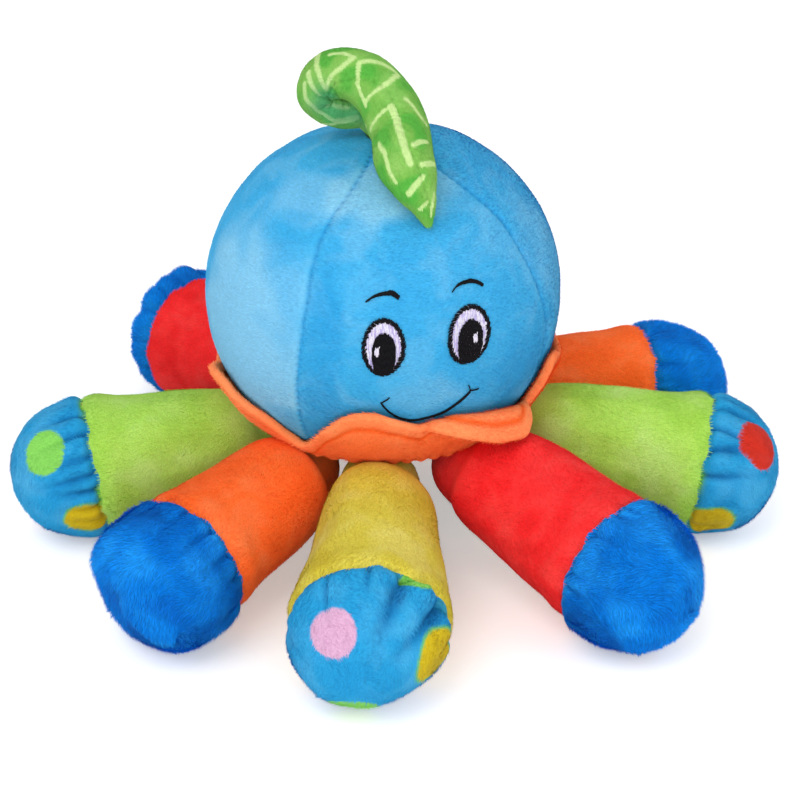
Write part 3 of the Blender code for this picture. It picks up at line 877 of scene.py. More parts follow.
    def make_panels(self, shop: Workshop, bare: Callable[[np.ndarray, np.ndarray], np.ndarray]) -> None:
        """Make the four panels, seamed from the crown to the neck, and their pile.

        Args:
            shop: The shared finishes and trees.
            bare: Says how bare of pile the cloth is at azimuths and latitudes.
        """
        share = np.linspace(-1, 1, self.columns + 1)
        spread = 0.5 * share + 0.5 * np.sin(share * math.pi / 2)
        for number, side in enumerate(("front", "right", "back", "left")):
            azimuth = 90 * number + 45 * spread[None, :]
            latitude = np.linspace(self.neck_latitude - 2, self.crown_latitude, self.rows + 1)[:, None]
            points = self.point(azimuth, latitude)
            name = f"head_cloth_{side}"
            azimuth = (azimuth + 180) % 360 - 180
            values = {"nap": self.nap(points), "bare": bare(azimuth, latitude)} | self.tones(azimuth, latitude)
            mesh = grid_mesh(name, points, values=values)
            cloth = new_piece(name, mesh, shop.material(Cloth.BLUE))
            pile = shop.pile.grow(f"head_pile_{side}", cloth, self.pile)
            shop.settle(cloth, "head", Cloth.BLUE, (f"head_panel_{side}",))
            shop.settle(pile, "head", Cloth.BLUE)

    def make_underside(self, shop: Workshop, roots: list[np.ndarray], root_radius: float) -> None:
        """Make the bowl below the collar, dented where each leg is sewn on.

        Args:
            shop: The shared finishes and trees.
            roots: The middles of the legs' round roots.
            root_radius: Their radius.
        """
        latitude = np.linspace(-88, self.neck_latitude - 0.5, 60)[:, None]
        azimuth = np.linspace(0, 360, 200, endpoint=False)[None, :]
        share = (latitude + 90) / (self.neck_latitude + 90)
        tuck = 0.005 * np.sin(math.pi * np.clip(share, 0, 1)) ** 2
        points = self.middle + outwards_at(azimuth, latitude) * (self.radius - 0.0012 - tuck)[..., None]
        for root in roots:
            away = points - root
            distance = np.linalg.norm(away, axis=-1, keepdims=True)
            pushed = root + away / distance * (root_radius + 0.0008)
            points = np.where(distance < root_radius + 0.0008, pushed, points)
        pole = self.middle - np.array((0, 0, self.radius - 0.0012))
        mesh = grid_mesh("underside_cloth", points, True, (pole, None), {"nap": self.nap(points)})
        cloth = new_piece("underside_cloth", mesh, shop.material(Cloth.BLUE))
        shop.settle(cloth, "head", Cloth.BLUE, ("underside_panel",))


@dataclass(frozen=True)
class Crease:
    """A fold that the gathering thread draws into a foot.

    Attributes:
        turn: Where it starts round the foot's seam, in degrees.
        reach: How far it runs from the seam.
        depth: How deep it is, or how high where negative.
        width: Its half width.
        bend: How far it turns round the foot for each metre of its run, in radians.
    """

    turn: float
    reach: float
    depth: float
    width: float
    bend: float = 0.0


@dataclass(frozen=True)
class Swell:
    """A broad bulge of a foot, or a flat place where its height is negative.

    Attributes:
        turn: Where it is round the foot, in degrees.
        off_tip: How far it is from the foot's tip, in degrees.
        reach: How wide it spreads.
        height: How far it stands out.
    """

    turn: float
    off_tip: float
    reach: float
    height: float


@dataclass(frozen=True)
class LegLook:
    """What sets one leg apart.

    Attributes:
        foot_at: Where its foot lies on the ring of feet, in degrees.
        cloth: The leg's cloth.
        foot: The foot's cloth.
        reach_share: How far out the foot is, as a share of the ring's radius.
        seam_share: How far its seam lies behind the foot's middle, as a share of its radius.
        dots: For each printed dot: its print, its turn round the foot and its angle from
            the foot's tip, both in degrees, and its radius.
        creases: The folds listed one by one; the rest are strewn.
        swells: The broad bulges and flats of the foot.
        leg_swells: The broad bulges of the leg: each one's turn in degrees, how far it is
            along the leg, how wide it spreads, and how far it stands out.
        strewn: How many more folds the gathering thread draws in.
    """

    foot_at: float
    cloth: Cloth
    foot: Cloth
    reach_share: float = 1.0
    seam_share: float = 0.2
    dots: tuple[tuple[str, float, float, float], ...] = ()
    creases: tuple[Crease, ...] = ()
    swells: tuple[Swell, ...] = ()
    leg_swells: tuple[tuple[float, float, float, float], ...] = ()
    strewn: int = 13


LEGS = {
    "front": LegLook(
        -18.4,
        Cloth.YELLOW,
        Cloth.DOTTED,
        1.0,
        0.04,
        (
            ("pink_dot", 54, 43, 0.0098),
            ("yellow_dot", -179, 60, 0.0112),
            ("green_dot", -76, 42, 0.0098),
            ("green_dot", 128, 92, 0.0060),
            ("red_dot", -30, 96, 0.0098),
        ),
        (
            Crease(60, 0.015, 0.0030, 0.0009, -6),
            Crease(91, 0.011, 0.0028, 0.0009),
            Crease(118, 0.025, 0.0058, 0.0026, -5),
            Crease(156, 0.024, 0.0060, 0.0026, -7),
            Crease(137, 0.020, -0.0022, 0.0050, -6),
            Crease(100, 0.016, -0.0011, 0.0050, -3),
            Crease(20, 0.010, 0.0012, 0.0016),
        ),
        (
            Swell(2, 72, 0.020, 0.0020),
            Swell(-50, 42, 0.018, 0.0016),
            Swell(-180, 86, 0.016, 0.0026),
            Swell(-130, 42, 0.016, -0.0016),
            Swell(95, 60, 0.020, 0.0010),
        ),
        (
            (0, 0.075, 0.025, 0.0016),
            (180, 0.070, 0.030, 0.0022),
            (70, 0.012, 0.016, 0.0030),
            (180, 0.012, 0.018, 0.0026),
        ),
        6,
    ),
    "front_right": LegLook(
        28.6,
        Cloth.RED,
        Cloth.ROYAL,
        1.0,
        0.34,
        leg_swells=((110, 0.030, 0.028, 0.0050), (78, 0.006, 0.018, 0.0050), (0, 0.010, 0.018, 0.0030)),
        strewn=15,
    ),
    "right": LegLook(
        70.4,
        Cloth.LIME,
        Cloth.DOTTED,
        1.0,
        0.15,
        (
            ("red_dot", 62, 53, 0.0116),
            ("yellow_dot", -26, 82, 0.0104),
            ("green_dot", 165, 55, 0.0098),
            ("pink_dot", -110, 60, 0.0098),
        ),
        (
            Crease(18, 0.018, 0.0040, 0.0014, 6),
            Crease(40, 0.022, 0.0044, 0.0016, 9),
            Crease(62, 0.018, 0.0036, 0.0012, -4),
            Crease(84, 0.020, 0.0040, 0.0016, 3),
            Crease(104, 0.015, 0.0034, 0.0014),
        ),
    ),
    "back_right": LegLook(100.6, Cloth.ORANGE, Cloth.ROYAL, 0.985, 0.40, strewn=15),
    "back": LegLook(
        160.0,
        Cloth.YELLOW,
        Cloth.DOTTED,
        1.0,
        0.20,
        (
            ("green_dot", 80, 50, 0.0098),
            ("pink_dot", 190, 70, 0.0098),
            ("red_dot", 320, 60, 0.0098),
        ),
        strewn=15,
    ),
    "back_left": LegLook(
        -152.3,
        Cloth.RED,
        Cloth.ROYAL,
        1.02,
        -0.08,
        swells=(Swell(90, 80, 0.016, 0.0065), Swell(135, 80, 0.014, 0.0045), Swell(180, 80, 0.016, 0.0030)),
        strewn=15,
    ),
    "left": LegLook(
        -97.9,
        Cloth.LIME,
        Cloth.DOTTED,
        1.0,
        0.20,
        (
            ("green_dot", 129, 62, 0.0104),
            ("yellow_dot", -160, 87, 0.0100),
            ("red_dot", 84, 112, 0.0060),
            ("pink_dot", -60, 50, 0.0098),
        ),
        (
            Crease(172, 0.016, 0.0040, 0.0014),
            Crease(158, 0.020, 0.0036, 0.0012, 4),
            Crease(143, 0.017, 0.0036, 0.0014, 3),
            Crease(122, 0.020, 0.0042, 0.0014, 2),
            Crease(104, 0.016, 0.0036, 0.0013, -3),
            Crease(-172, 0.013, 0.0036, 0.0013),
            Crease(-156, 0.012, 0.0032, 0.0014, -3),
        ),
    ),
    "front_left": LegLook(
        -56.0,
        Cloth.ORANGE,
        Cloth.ROYAL,
        0.985,
        0.38,
        swells=(
            Swell(34, 60, 0.012, 0.0026),
            Swell(10, 26, 0.015, -0.0030),
            Swell(-45, 18, 0.015, -0.0030),
            Swell(-110, 34, 0.012, -0.0014),
        ),
        leg_swells=((180, 0.016, 0.026, 0.0052), (100, 0.012, 0.022, 0.0030)),
        strewn=15,
    ),
}


@dataclass
class Leg:
    """One stuffed leg: a tapering cloth tube and a foot gathered onto its end."""

    name: str
    look: LegLook
    root: np.ndarray
    seed: float
    root_radius: float = 0.0178
    root_neck: float = 0.007
    fullness: float = 0.55
    feet_ring: float = 0.1374
    foot_radius: float = 0.0312
    foot_overhang: float = 0.0006
    foot_flat: float = 0.0005
    columns: int = 256
    leg_rows: int = 56
    foot_rows: int = 68
    short_pile: dict[str, float] = field(
        default_factory=lambda: {
            "Density": 1.3e6,
            "Length": 0.0018,
            "Width": 0.00034,
            "Lean": 2.0,
            "Tangle": 0.4,
        }
    )
    long_pile: dict[str, float] = field(
        default_factory=lambda: {
            "Density": 3.0e6,
            "Length": 0.0027,
            "Width": 0.00034,
            "Lean": 1.7,
            "Tangle": 0.6,
            "Rows": 3,
        }
    )

    def __post_init__(self) -> None:
        """Work out where the foot is and which way the leg runs."""
        flat = outwards_at(np.array(self.look.foot_at), np.array(0.0)) * self.feet_ring * self.look.reach_share
        self.foot = np.array((flat[0], flat[1], self.foot_radius - self.foot_flat))
        reach = self.foot - self.root
        self.length = float(np.linalg.norm(reach))
        self.along = reach / self.length
        side = np.cross(self.along, (0, 0, 1.0))
        self.side = side / np.linalg.norm(side)
        self.up = np.cross(self.side, self.along)
        self.seam_back = self.look.seam_share * self.foot_radius
        self.end_radius = math.sqrt(self.foot_radius**2 - self.seam_back**2) - self.foot_overhang

    def ring_points(self, along: np.ndarray, radius: np.ndarray, turn: np.ndarray) -> np.ndarray:
        """Points at distances along the leg, radii from its axis and turns from its side."""
        along, radius, turn = np.broadcast_arrays(along, radius, turn)
        across = self.side * np.cos(turn)[..., None] + self.up * np.sin(turn)[..., None]
        return self.root + self.along * along[..., None] + across * radius[..., None]

    def folds(self) -> list[Crease]:
        """The foot's folds: those listed, and others strewn where there is room.

        Returns:
            The folds.
        """
        rng = np.random.default_rng(int(self.seed * 100) + 5)
        found = list(self.look.creases)
        for number in range(self.look.strewn):
            turn = 360 / self.look.strewn * (number + rng.uniform(-0.35, 0.35))
            near = min((abs((turn - c.turn + 180) % 360 - 180) for c in self.look.creases), default=180)
            reach, depth = rng.uniform(0.006, 0.018), rng.uniform(0.0018, 0.0038)
            width, bend = rng.uniform(0.0010, 0.0024), rng.uniform(-7, 7)
            if near > 14:
                found.append(Crease(turn, reach, depth, width, bend))
        return found

    def gather_depth(self, turn: np.ndarray, back: np.ndarray) -> np.ndarray:
        """How deep the gathers press in.

        Args:
            turn: The turn round the foot.
            back: The distance from the foot's seam.

        Returns:
            The depth of the creases, less the puffs between them.
        """
        depth = np.zeros(np.broadcast(turn, back).shape)
        for crease in self.folds():
            off = (turn - math.radians(crease.turn) - crease.bend * back + math.pi) % (2 * math.pi) - math.pi
            aside = np.abs(off) * self.foot_radius / (crease.width * (1 + back / 0.020))
            fade = np.exp(-((back / crease.reach) ** 2.2))
            depth = depth + crease.depth * np.exp(-(aside**1.5)) * fade
        puff = 0.0012 * np.exp(-(((back - 0.0045) / 0.0045) ** 2))
        ruffle = 0.0004 * np.sin(turn * 23 + 3 * np.sin(turn * 5 + self.seed)) * np.exp(-back / 0.0035)
        return depth - puff + ruffle

    def direction(self, turn: float, off_tip: float) -> np.ndarray:
        """A unit direction from the foot's middle, from degrees round and degrees off its tip."""
        a, b = math.radians(turn), math.radians(off_tip)
        return self.along * math.cos(b) + (self.side * math.cos(a) + self.up * math.sin(a)) * math.sin(b)

    def shape(self) -> tuple[np.ndarray, int, np.ndarray]:
        """The leg's and the foot's cloth as one grid from the root to the tip.

        Returns:
            The points, the row of the seam between leg and foot, and how deep in a fold
            each point of the foot lies.
        """
        turn = np.linspace(0, 2 * math.pi, self.columns, endpoint=False)[None, :]
        seam_at = self.length - self.seam_back
        dome = np.radians(np.linspace(8, 90, 12))
        rows = [(-self.root_radius * math.cos(a), self.root_radius * math.sin(a)) for a in dome]
        for along in seam_at * np.linspace(0, 1, self.leg_rows)[1:] ** 0.9:
            swell = max(along - self.root_neck, 0) / (seam_at - self.root_neck)
            radius = self.root_radius + (self.end_radius - self.root_radius) * swell**self.fullness
            rows.append((along, radius))
        leg = np.array(rows)
        to_seam = (seam_at - leg[:, 0])[:, None]
        leg_along = leg[:, :1] + np.zeros_like(turn)
        drawn_in = 0.0010 * np.exp(-((to_seam / 0.0014) ** 1.4))
        fuller = 0.0013 * np.exp(-(((to_seam - 0.006) / 0.006) ** 2))
        leg_radius = leg[:, 1:] - drawn_in + fuller
        leg_points = self.ring_points(leg_along, leg_radius + 0 * turn, turn)
        swelling = smoothstep(-0.005, 0.012, leg_along)
        lump = 0.0011 * lumps(leg_points, 0.030, self.seed) + 0.0003 * lumps(leg_points, 0.010, self.seed)
        pull = 0.0004 * np.sin(turn * 12 + self.seed * 3) * np.exp(-to_seam / 0.006)
        for at_turn, at, reach, height in self.look.leg_swells:
            off = (turn - math.radians(at_turn) + math.pi) % (2 * math.pi) - math.pi
            away = ((leg_along - at) / reach) ** 2 + (off / 0.9) ** 2
            lump = lump + height * np.exp(-away)
        leg_points = self.ring_points(leg_along, leg_radius + (lump - pull) * swelling, turn)

        start = math.asin(-self.seam_back / self.foot_radius)
        lift = start + (math.pi / 2 - 0.03 - start) * np.linspace(0, 1, self.foot_rows)[1:, None] ** 1.15
        back = (lift - start) * self.foot_radius
        depth = self.gather_depth(turn, back)
        out = -0.0024 * np.exp(-((back / 0.0016) ** 1.3)) - depth
        foot_along = self.length + (self.foot_radius + out) * np.sin(lift)
        foot_radius = (self.foot_radius + out) * np.cos(lift)
        foot_points = self.ring_points(foot_along, foot_radius, turn)
        ways = foot_points - self.foot
        ways = ways / np.linalg.norm(ways, axis=-1, keepdims=True)
        lump = 0.0010 * lumps(foot_points, 0.026, self.seed + 2) + 0.0004 * lumps(foot_points, 0.009, self.seed)
        for swell in self.look.swells:
            angle = np.arccos(np.clip(ways @ self.direction(swell.turn, swell.off_tip), -1, 1))
            lump = lump + swell.height * np.exp(-((angle * self.foot_radius / swell.reach) ** 2))
        foot_points = foot_points + ways * (lump * smoothstep(0, 0.010, back))[..., None]
        points = np.concatenate([leg_points, foot_points])
        seam_row = len(leg_points) - 1
        wave = 0.0006 * np.sin(turn * 7 + self.seed * 5) + 0.0004 * np.sin(turn * 17 + self.seed)
        nearness = np.exp(-(((np.arange(len(points)) - seam_row) / 4.0) ** 2))[:, None]
        points = points + self.along * (wave * nearness)[..., None]
        deep = np.clip(depth / 0.0028, 0, 1) * smoothstep(0.0, 0.003, back)
        return points, seam_row, np.concatenate([deep[:1], deep])

    def stand(self, points: np.ndarray) -> np.ndarray:
        """Flatten the underside softly where the foot rests.

        Args:
            points: Points of the foot.

        Returns:
            The same points, none below the floor.
        """
        height = points[..., 2]
        soft = 0.0012
        flattened = np.where(height < soft, soft * np.exp((height - soft) / soft / 1.0), height)
        result = points.copy()
        result[..., 2] = np.maximum(flattened, 0.0)
        return result

    def prints(self, points: np.ndarray) -> dict[str, np.ndarray]:
        """How much of each dot's colour every point of the foot carries.

        Args:
            points: Points of the foot's cloth.

        Returns:
            The prints' attributes.
        """
        ways = points - self.foot
        ways = ways / np.linalg.norm(ways, axis=-1, keepdims=True)
        amounts = {name: np.zeros(points.shape[:-1]) for name, _ in FINISHES[Cloth.DOTTED].prints}
        ragged = 0.0004 * lumps(points, 0.004, self.seed + 5)
        for name, turn, off_tip, radius in self.look.dots:
            cosine = np.clip(ways @ self.direction(turn, off_tip), -1, 1)
            distance = np.arccos(cosine) * self.foot_radius + ragged
            amounts[name] = np.maximum(amounts[name], 1 - smoothstep(radius - 0.0003, radius + 0.0003, distance))
            if name == "yellow_dot":
                rim = 1 - smoothstep(radius + 0.0006, radius + 0.0016, distance)
                amounts["halo"] = np.maximum(amounts["halo"], 0.8 * rim)
        # The cloth's green edge shows here and there along the seam
        seam = np.exp(-((np.arange(points.shape[0]) / 3.0) ** 2))[:, None]
        amounts["halo"] = np.maximum(amounts["halo"], seam * smoothstep(0.0, 0.35, lumps(points, 0.016, self.seed)))
        return amounts

    def lying(self, points: np.ndarray, sway: float) -> np.ndarray:
        """The way the pile lies: along the leg, drooping over the foot's tip, swayed in patches.

        Args:
            points: Points of the cloth.
            sway: How far the pile sways.

        Returns:
            The directions.
        """
        turn_way = np.cross(self.along, points - self.root)
        turn_way = turn_way / np.maximum(np.linalg.norm(turn_way, axis=-1, keepdims=True), 1e-6)
        ways = points - self.foot
        nearness = (ways @ self.along) / np.maximum(np.linalg.norm(ways, axis=-1), 1e-6)
        droop = smoothstep(0.2, 0.9, nearness)[..., None]
        lying = self.along * (1 - 0.9 * droop) + np.array((0, 0, -1.0)) * droop
        lying = lying + turn_way * (lumps(points, 0.02, self.seed + 9) * sway)[..., None]
        # Over the foot it lies flat on the ball, so that it doesn't stand off below
        out = ways / np.maximum(np.linalg.norm(ways, axis=-1, keepdims=True), 1e-6)
        on_foot = smoothstep(-0.3, 0.3, nearness)[..., None]
        lying = lying - out * np.sum(lying * out, axis=-1, keepdims=True) * on_foot * 0.85
        return lying / np.linalg.norm(lying, axis=-1, keepdims=True)

    def make(self, shop: Workshop, points: np.ndarray, seam_row: int, deep: np.ndarray) -> None:
        """Make the leg's pieces from their final points.

        Args:
            shop: The shared finishes and trees.
            points: The leg's and the foot's cloth, by row and column.
            seam_row: The row of the foot's seam.
            deep: How deep each point lies in a fold.
        """
        points = self.stand(points)
        body = f"{self.name}_leg"
        leg_points = points[: seam_row + 1, ::2]
        pole = self.root - self.along * self.root_radius
        values = {"nap": self.lying(leg_points, 1.5)} | self.tones(leg_points, 0.45)
        mesh = grid_mesh(f"{self.name}_leg_cloth", leg_points, True, (pole, None), values)
        mesh.flip_normals()
        cloth = new_piece(f"{self.name}_leg_cloth", mesh, shop.material(self.look.cloth))
        pile = shop.pile.grow(f"{self.name}_leg_pile", cloth, self.short_pile)
        shop.settle(cloth, body, self.look.cloth, (f"{self.name}_leg_cover",))
        shop.settle(pile, body, self.look.cloth)

        # The filling keeps well inside the folds of its cloth
        core = points[2:-32:3, ::4]
        middle = core.mean(axis=1, keepdims=True)
        inward = (middle - core) / np.linalg.norm(middle - core, axis=-1, keepdims=True)
        core = core + inward * 0.0042
        core[..., 2] = np.maximum(core[..., 2], 0.003)
        ends = (core[0].mean(axis=0), core[-1].mean(axis=0))
        mesh = grid_mesh(f"{self.name}_leg_fibre", core, True, ends)
        mesh.flip_normals()
        fibre = new_piece(f"{self.name}_leg_fibre", mesh, shop.material(Cloth.FILLING))
        shop.settle(fibre, body, Cloth.FILLING, (f"{self.name}_leg_filling",))

        foot_points = points[seam_row:]
        furry = self.look.foot is Cloth.ROYAL
        values = {"nap": self.lying(foot_points, 2.5)} | self.tones(foot_points, 0.8 if furry else 0.35)
        # Painted shade in the foot's folds: the fur is drawn darker there, and the dotted cloth takes the darker crease
        # colour.
        if furry:
            values["deeper"] = np.maximum(values["deeper"], 0.7 * deep)
        else:
            values |= self.prints(foot_points)
            values["crease"] = 0.8 * deep
        tip = foot_points[-1].mean(axis=0)
        mesh = grid_mesh(f"{self.name}_foot_cloth", foot_points, True, (None, tip), values)
        mesh.flip_normals()
        foot = new_piece(f"{self.name}_foot_cloth", mesh, shop.material(self.look.foot))
        sizes = self.long_pile if furry else self.short_pile
        fur = shop.pile.grow(f"{self.name}_foot_pile", foot, sizes)
        shop.settle(foot, body, self.look.foot, (f"{self.name}_foot_cover",))
        shop.settle(fur, body, self.look.foot)

    def tones(self, points: np.ndarray, strength: float) -> dict[str, np.ndarray]:
        """How much paler and how much deeper the cloth is, in the patches of its nap.

        Args:
            points: Points of the cloth.
            strength: How strongly they show.

        Returns:
            The attributes.
        """
        tone = lumps(points, 0.024, self.seed + 20) + 0.5 * lumps(points, 0.009, self.seed + 30)
        return {
            "paler": strength * smoothstep(0.05, 0.6, tone),
            "deeper": strength * smoothstep(0.05, 0.6, -tone),
        }


@dataclass
class Stuffing:
    """Cloth simulation that blows the sewn legs up as their filling does.

    Every leg's shape is thinned to a coarse grid, and all of them swell in one run while
    their seams are held. The fine shapes then take over how far the coarse ones moved.
    """

    row_step: int = 4
    column_step: int = 4
    frames: int = 16
    pressure: float = 4.0
    start_inside: float = 0.0010
    most: float = 0.0030

    def thinned(self, points: np.ndarray, held_row: int) -> tuple[np.ndarray, np.ndarray]:
        """The rows that the coarse grid keeps, with the seam's row among them, and the grid."""
        rows = np.unique(np.append(np.arange(0, len(points), self.row_step), (held_row, len(points) - 1)))
        return rows, points[rows][:, :: self.column_step]

    def swell(self, shapes: list[tuple[np.ndarray, int]]) -> list[np.ndarray]:
        """Run the simulation once for every shape.

        Args:
            shapes: Each grid of points, closed round, and the row of its seam.

        Returns:
            The points of each, moved.
        """
        vertices: list[list[float]] = []
        faces: list[list[int]] = []
        held: list[int] = []
        thin = []
        for points, seam_row in shapes:
            rows, coarse = self.thinned(points, seam_row)
            middle = coarse.mean(axis=1, keepdims=True)
            inward = middle - coarse
            inward = inward / np.linalg.norm(inward, axis=-1, keepdims=True)
            started = coarse + inward * self.start_inside
            first = len(vertices)
            count, columns = coarse.shape[:2]
            vertices += started.reshape(-1, 3).tolist()
            vertices += [started[0].mean(axis=0).tolist(), started[-1].mean(axis=0).tolist()]
            for row in range(count - 1):
                for column in range(columns):
                    beside = (column + 1) % columns
                    corners = ((row, column), (row, beside), (row + 1, beside), (row + 1, column))
                    faces.append([first + r * columns + c for r, c in corners])
            for column in range(columns):
                beside = (column + 1) % columns
                low, high = first + count * columns, first + (count - 1) * columns
                faces.append([first + beside, first + column, low])
                faces.append([high + column, high + beside, low + 1])
            for row in (0, 1, 2, 3, int(np.where(rows == seam_row)[0][0])):
                held += [first + row * columns + c for c in range(columns)]
            held.append(first + count * columns)
            thin.append((rows, first, coarse, started))
        mesh = bpy.data.meshes.new("stuffing")
        mesh.from_pydata(vertices, [], faces)
        cloth = bpy.data.objects.new("stuffing", mesh)
        bpy.context.scene.collection.objects.link(cloth)
        group = cloth.vertex_groups.new(name="held")
        group.add(held, 1.0, "REPLACE")
        modifier = cloth.modifiers.new("cloth", "CLOTH")
        settings = modifier.settings
        settings.quality = 5
        settings.mass = 0.15
        settings.tension_stiffness = settings.compression_stiffness = 15
        settings.shear_stiffness = 5
        settings.bending_stiffness = 0.5
        settings.vertex_group_mass = "held"
        settings.use_pressure = True
        settings.uniform_pressure_force = self.pressure
        settings.effector_weights.gravity = 0
        modifier.collision_settings.use_collision = False
        modifier.collision_settings.use_self_collision = False
        modifier.point_cache.frame_end = self.frames
        scene = bpy.context.scene
        for step in range(1, self.frames + 1):
            scene.frame_set(step)
        evaluated = cloth.evaluated_get(bpy.context.evaluated_depsgraph_get())
        flat = np.empty(len(vertices) * 3, np.float32)
        evaluated.data.vertices.foreach_get("co", flat)
        moved = flat.reshape(-1, 3).astype(float)
        bpy.data.objects.remove(cloth)
        scene.frame_set(1)
        result = []
        for (points, _), (rows, first, coarse, started) in zip(shapes, thin):
            count = coarse.shape[0] * coarse.shape[1]
            shift = moved[first : first + count].reshape(coarse.shape) - started
            far = np.linalg.norm(shift, axis=-1, keepdims=True)
            shift = shift * np.minimum(1, self.most / np.maximum(far, 1e-9)) + (started - coarse)
            result.append(points + self.spread(shift, rows, points.shape))
            log.info("stuffing: moved by %.1f mm on average, %.1f mm at most", far.mean() * 1000, far.max() * 1000)
        return result

    def spread(self, shift: np.ndarray, rows: np.ndarray, shape: tuple[int, ...]) -> np.ndarray:
        """Spread the coarse grid's movement over the fine grid's rows and columns.

        Args:
            shift: The coarse grid's movement.
            rows: Its rows in the fine grid.
            shape: The fine grid's shape.

        Returns:
            The fine grid's movement.
        """
        columns = np.arange(shape[1]) / self.column_step
        low = columns.astype(int)
        part = (columns - low)[None, :, None]
        part = part * part * (3 - 2 * part)
        across = shift[:, low] * (1 - part) + shift[:, (low + 1) % shift.shape[1]] * part
        place = np.interp(np.arange(shape[0]), rows, np.arange(len(rows)))
        low = np.minimum(place.astype(int), len(rows) - 2)
        part = (place - low)[:, None, None]
        return across[low] * (1 - part) + across[low + 1] * part


@dataclass
class Collar:
    """The scalloped collar of double cloth, sewn at the neck.

    Attributes:
        head: The head that it is sewn to.
        start_latitude: Where it is sewn on, in degrees.
        wall: How thick the doubled cloth is.
        columns: Points round it.
        rows: Points up it.
        course: Knots of its free edge: azimuth, latitude, and the lean from the head, in
            degrees.
        turnover: Knots of how much of its edge is folded outwards: azimuth, length, and
            the fold's angle in degrees.
    """

    head: Head
    start_latitude: float = -41
    wall: float = 0.0034
    columns: int = 440
    rows: int = 34
    course: tuple[tuple[float, float, float], ...] = (
        (-180, -20, 6),
        (-157, -17, 7),
        (-140, -33, 5),
        (-130, -33, 5),
        (-115, -26, 5),
        (-100, -26, 4),
        (-93, -22.5, 4),
        (-87, -19.5, 5),
        (-81, -18.5, 5),
        (-76, -20, 5),
        (-73, -23.5, 6),
        (-66, -24, 5),
        (-58, -26.5, 4),
        (-52.5, -31, 4),
        (-48, -36.5, 4),
        (-46, -38, 4),
        (-43, -36, 4),
        (-39, -31.5, 4),
        (-32.6, -22.5, 5),
        (-27, -17, 5),
        (-22, -14.3, 5),
        (-16, -14, 5),
        (-10.5, -16.2, 5),
        (-6, -19, 4),
        (-1.6, -21.3, 3),
        (1.3, -18.7, 3),
        (7.6, -17, 4),
        (21, -19.5, 6),
        (30, -21, 7),
        (38, -24, 6),
        (44, -27.5, 5),
        (47, -20, 4),
        (51, -13, 3),
        (56, -13, 3),
        (64, -19, 4),
        (80, -21, 6),
        (90, -22, 7),
        (112, -18, 7),
        (130, -33, 5),
        (140, -33, 5),
        (157, -17, 7),
    )
    turnover: tuple[tuple[float, float, float], ...] = (
        (-1, 0.0, 105),
        (1.3, 0.002, 105),
        (7.6, 0.007, 108),
        (21, 0.0105, 110),
        (30, 0.0105, 108),
        (36, 0.006, 105),
        (40, 0.001, 105),
        (44, 0.0, 0),
    )

    @staticmethod
    def knotted(azimuth: np.ndarray, knots: tuple[tuple[float, float, float], ...], which: int) -> np.ndarray:
        """One column of the knots read at every azimuth, softened a little.

        Args:
            azimuth: Degrees round from the face.
            knots: The knots' rows.
            which: The column that is read.

        Returns:
            The softened values.
        """
        at = [knot[0] for knot in knots]
        values = np.interp(azimuth, at, [knot[which] for knot in knots], period=360)
        reach = np.arange(-4, 5)
        weights = np.exp(-((reach / 1.6) ** 2))
        turned = sum(w * np.roll(values, r) for w, r in zip(weights, reach.tolist()))
        return turned / weights.sum()

    def middle_surface(self, azimuth: np.ndarray) -> tuple[np.ndarray, np.ndarray, np.ndarray]:
        """The middle of the doubled cloth.

        Args:
            azimuth: Degrees round from the face.

        Returns:
            The points, rows by columns, how far along the cloth each is from the seam, and
            how far from the free edge.
        """
        rim = self.knotted(azimuth, self.course, 1)
        lean = np.radians(self.knotted(azimuth, self.course, 2))
        turned = self.knotted(azimuth, self.turnover, 1)
        fold = np.radians(self.knotted(azimuth, self.turnover, 2)) * smoothstep(0.0, 0.0015, turned)
        standing = np.radians(rim - self.start_latitude) * self.head.radius / np.cos(lean)
        length = standing + turned
        run = np.linspace(0, 1, self.rows)[:, None] * length[None, :]
        heading = lean[None, :] * smoothstep(0.0, 0.008, run)
        heading = heading + fold[None, :] * smoothstep(-0.0022, 0.0030, run - standing[None, :])
        step = np.diff(run, axis=0, prepend=0)
        up = np.cumsum(step * np.cos(heading), axis=0)
        out = np.cumsum(step * np.sin(heading), axis=0)
        gather = 0.0005 * np.sin(np.radians(azimuth) * 52 + 2 * np.sin(np.radians(azimuth) * 7))[None, :]
        latitude = self.start_latitude + np.degrees(up / self.head.radius)
        azimuths = np.broadcast_to(azimuth[None, :], latitude.shape)
        ways = outwards_at(azimuths, latitude)
        wavy = 0.0010 * lumps(ways * self.head.radius, 0.020, 6.0) * smoothstep(0.006, 0.03, run)
        wavy = wavy + 0.0005 * lumps(ways * self.head.radius, 0.008, 7.0) * smoothstep(0.004, 0.02, run)
        lift = 0.0006 + self.wall / 2 + out + gather * np.exp(-run / 0.005) + wavy
        return self.head.middle + ways * (self.head.radius + lift)[..., None], run, length[None, :] - run

    def make(self, shop: Workshop) -> None:
        """Make the collar and its pile.

        Args:
            shop: The shared finishes and trees.
        """
        azimuth = np.linspace(-180, 180, self.columns, endpoint=False)
        middle, run, left = self.middle_surface(azimuth)
        around = np.roll(middle, -1, axis=1) - np.roll(middle, 1, axis=1)
        upward = np.gradient(middle, axis=0)
        normal = np.cross(around, upward)
        normal = normal / np.linalg.norm(normal, axis=-1, keepdims=True)
        along = upward / np.linalg.norm(upward, axis=-1, keepdims=True)
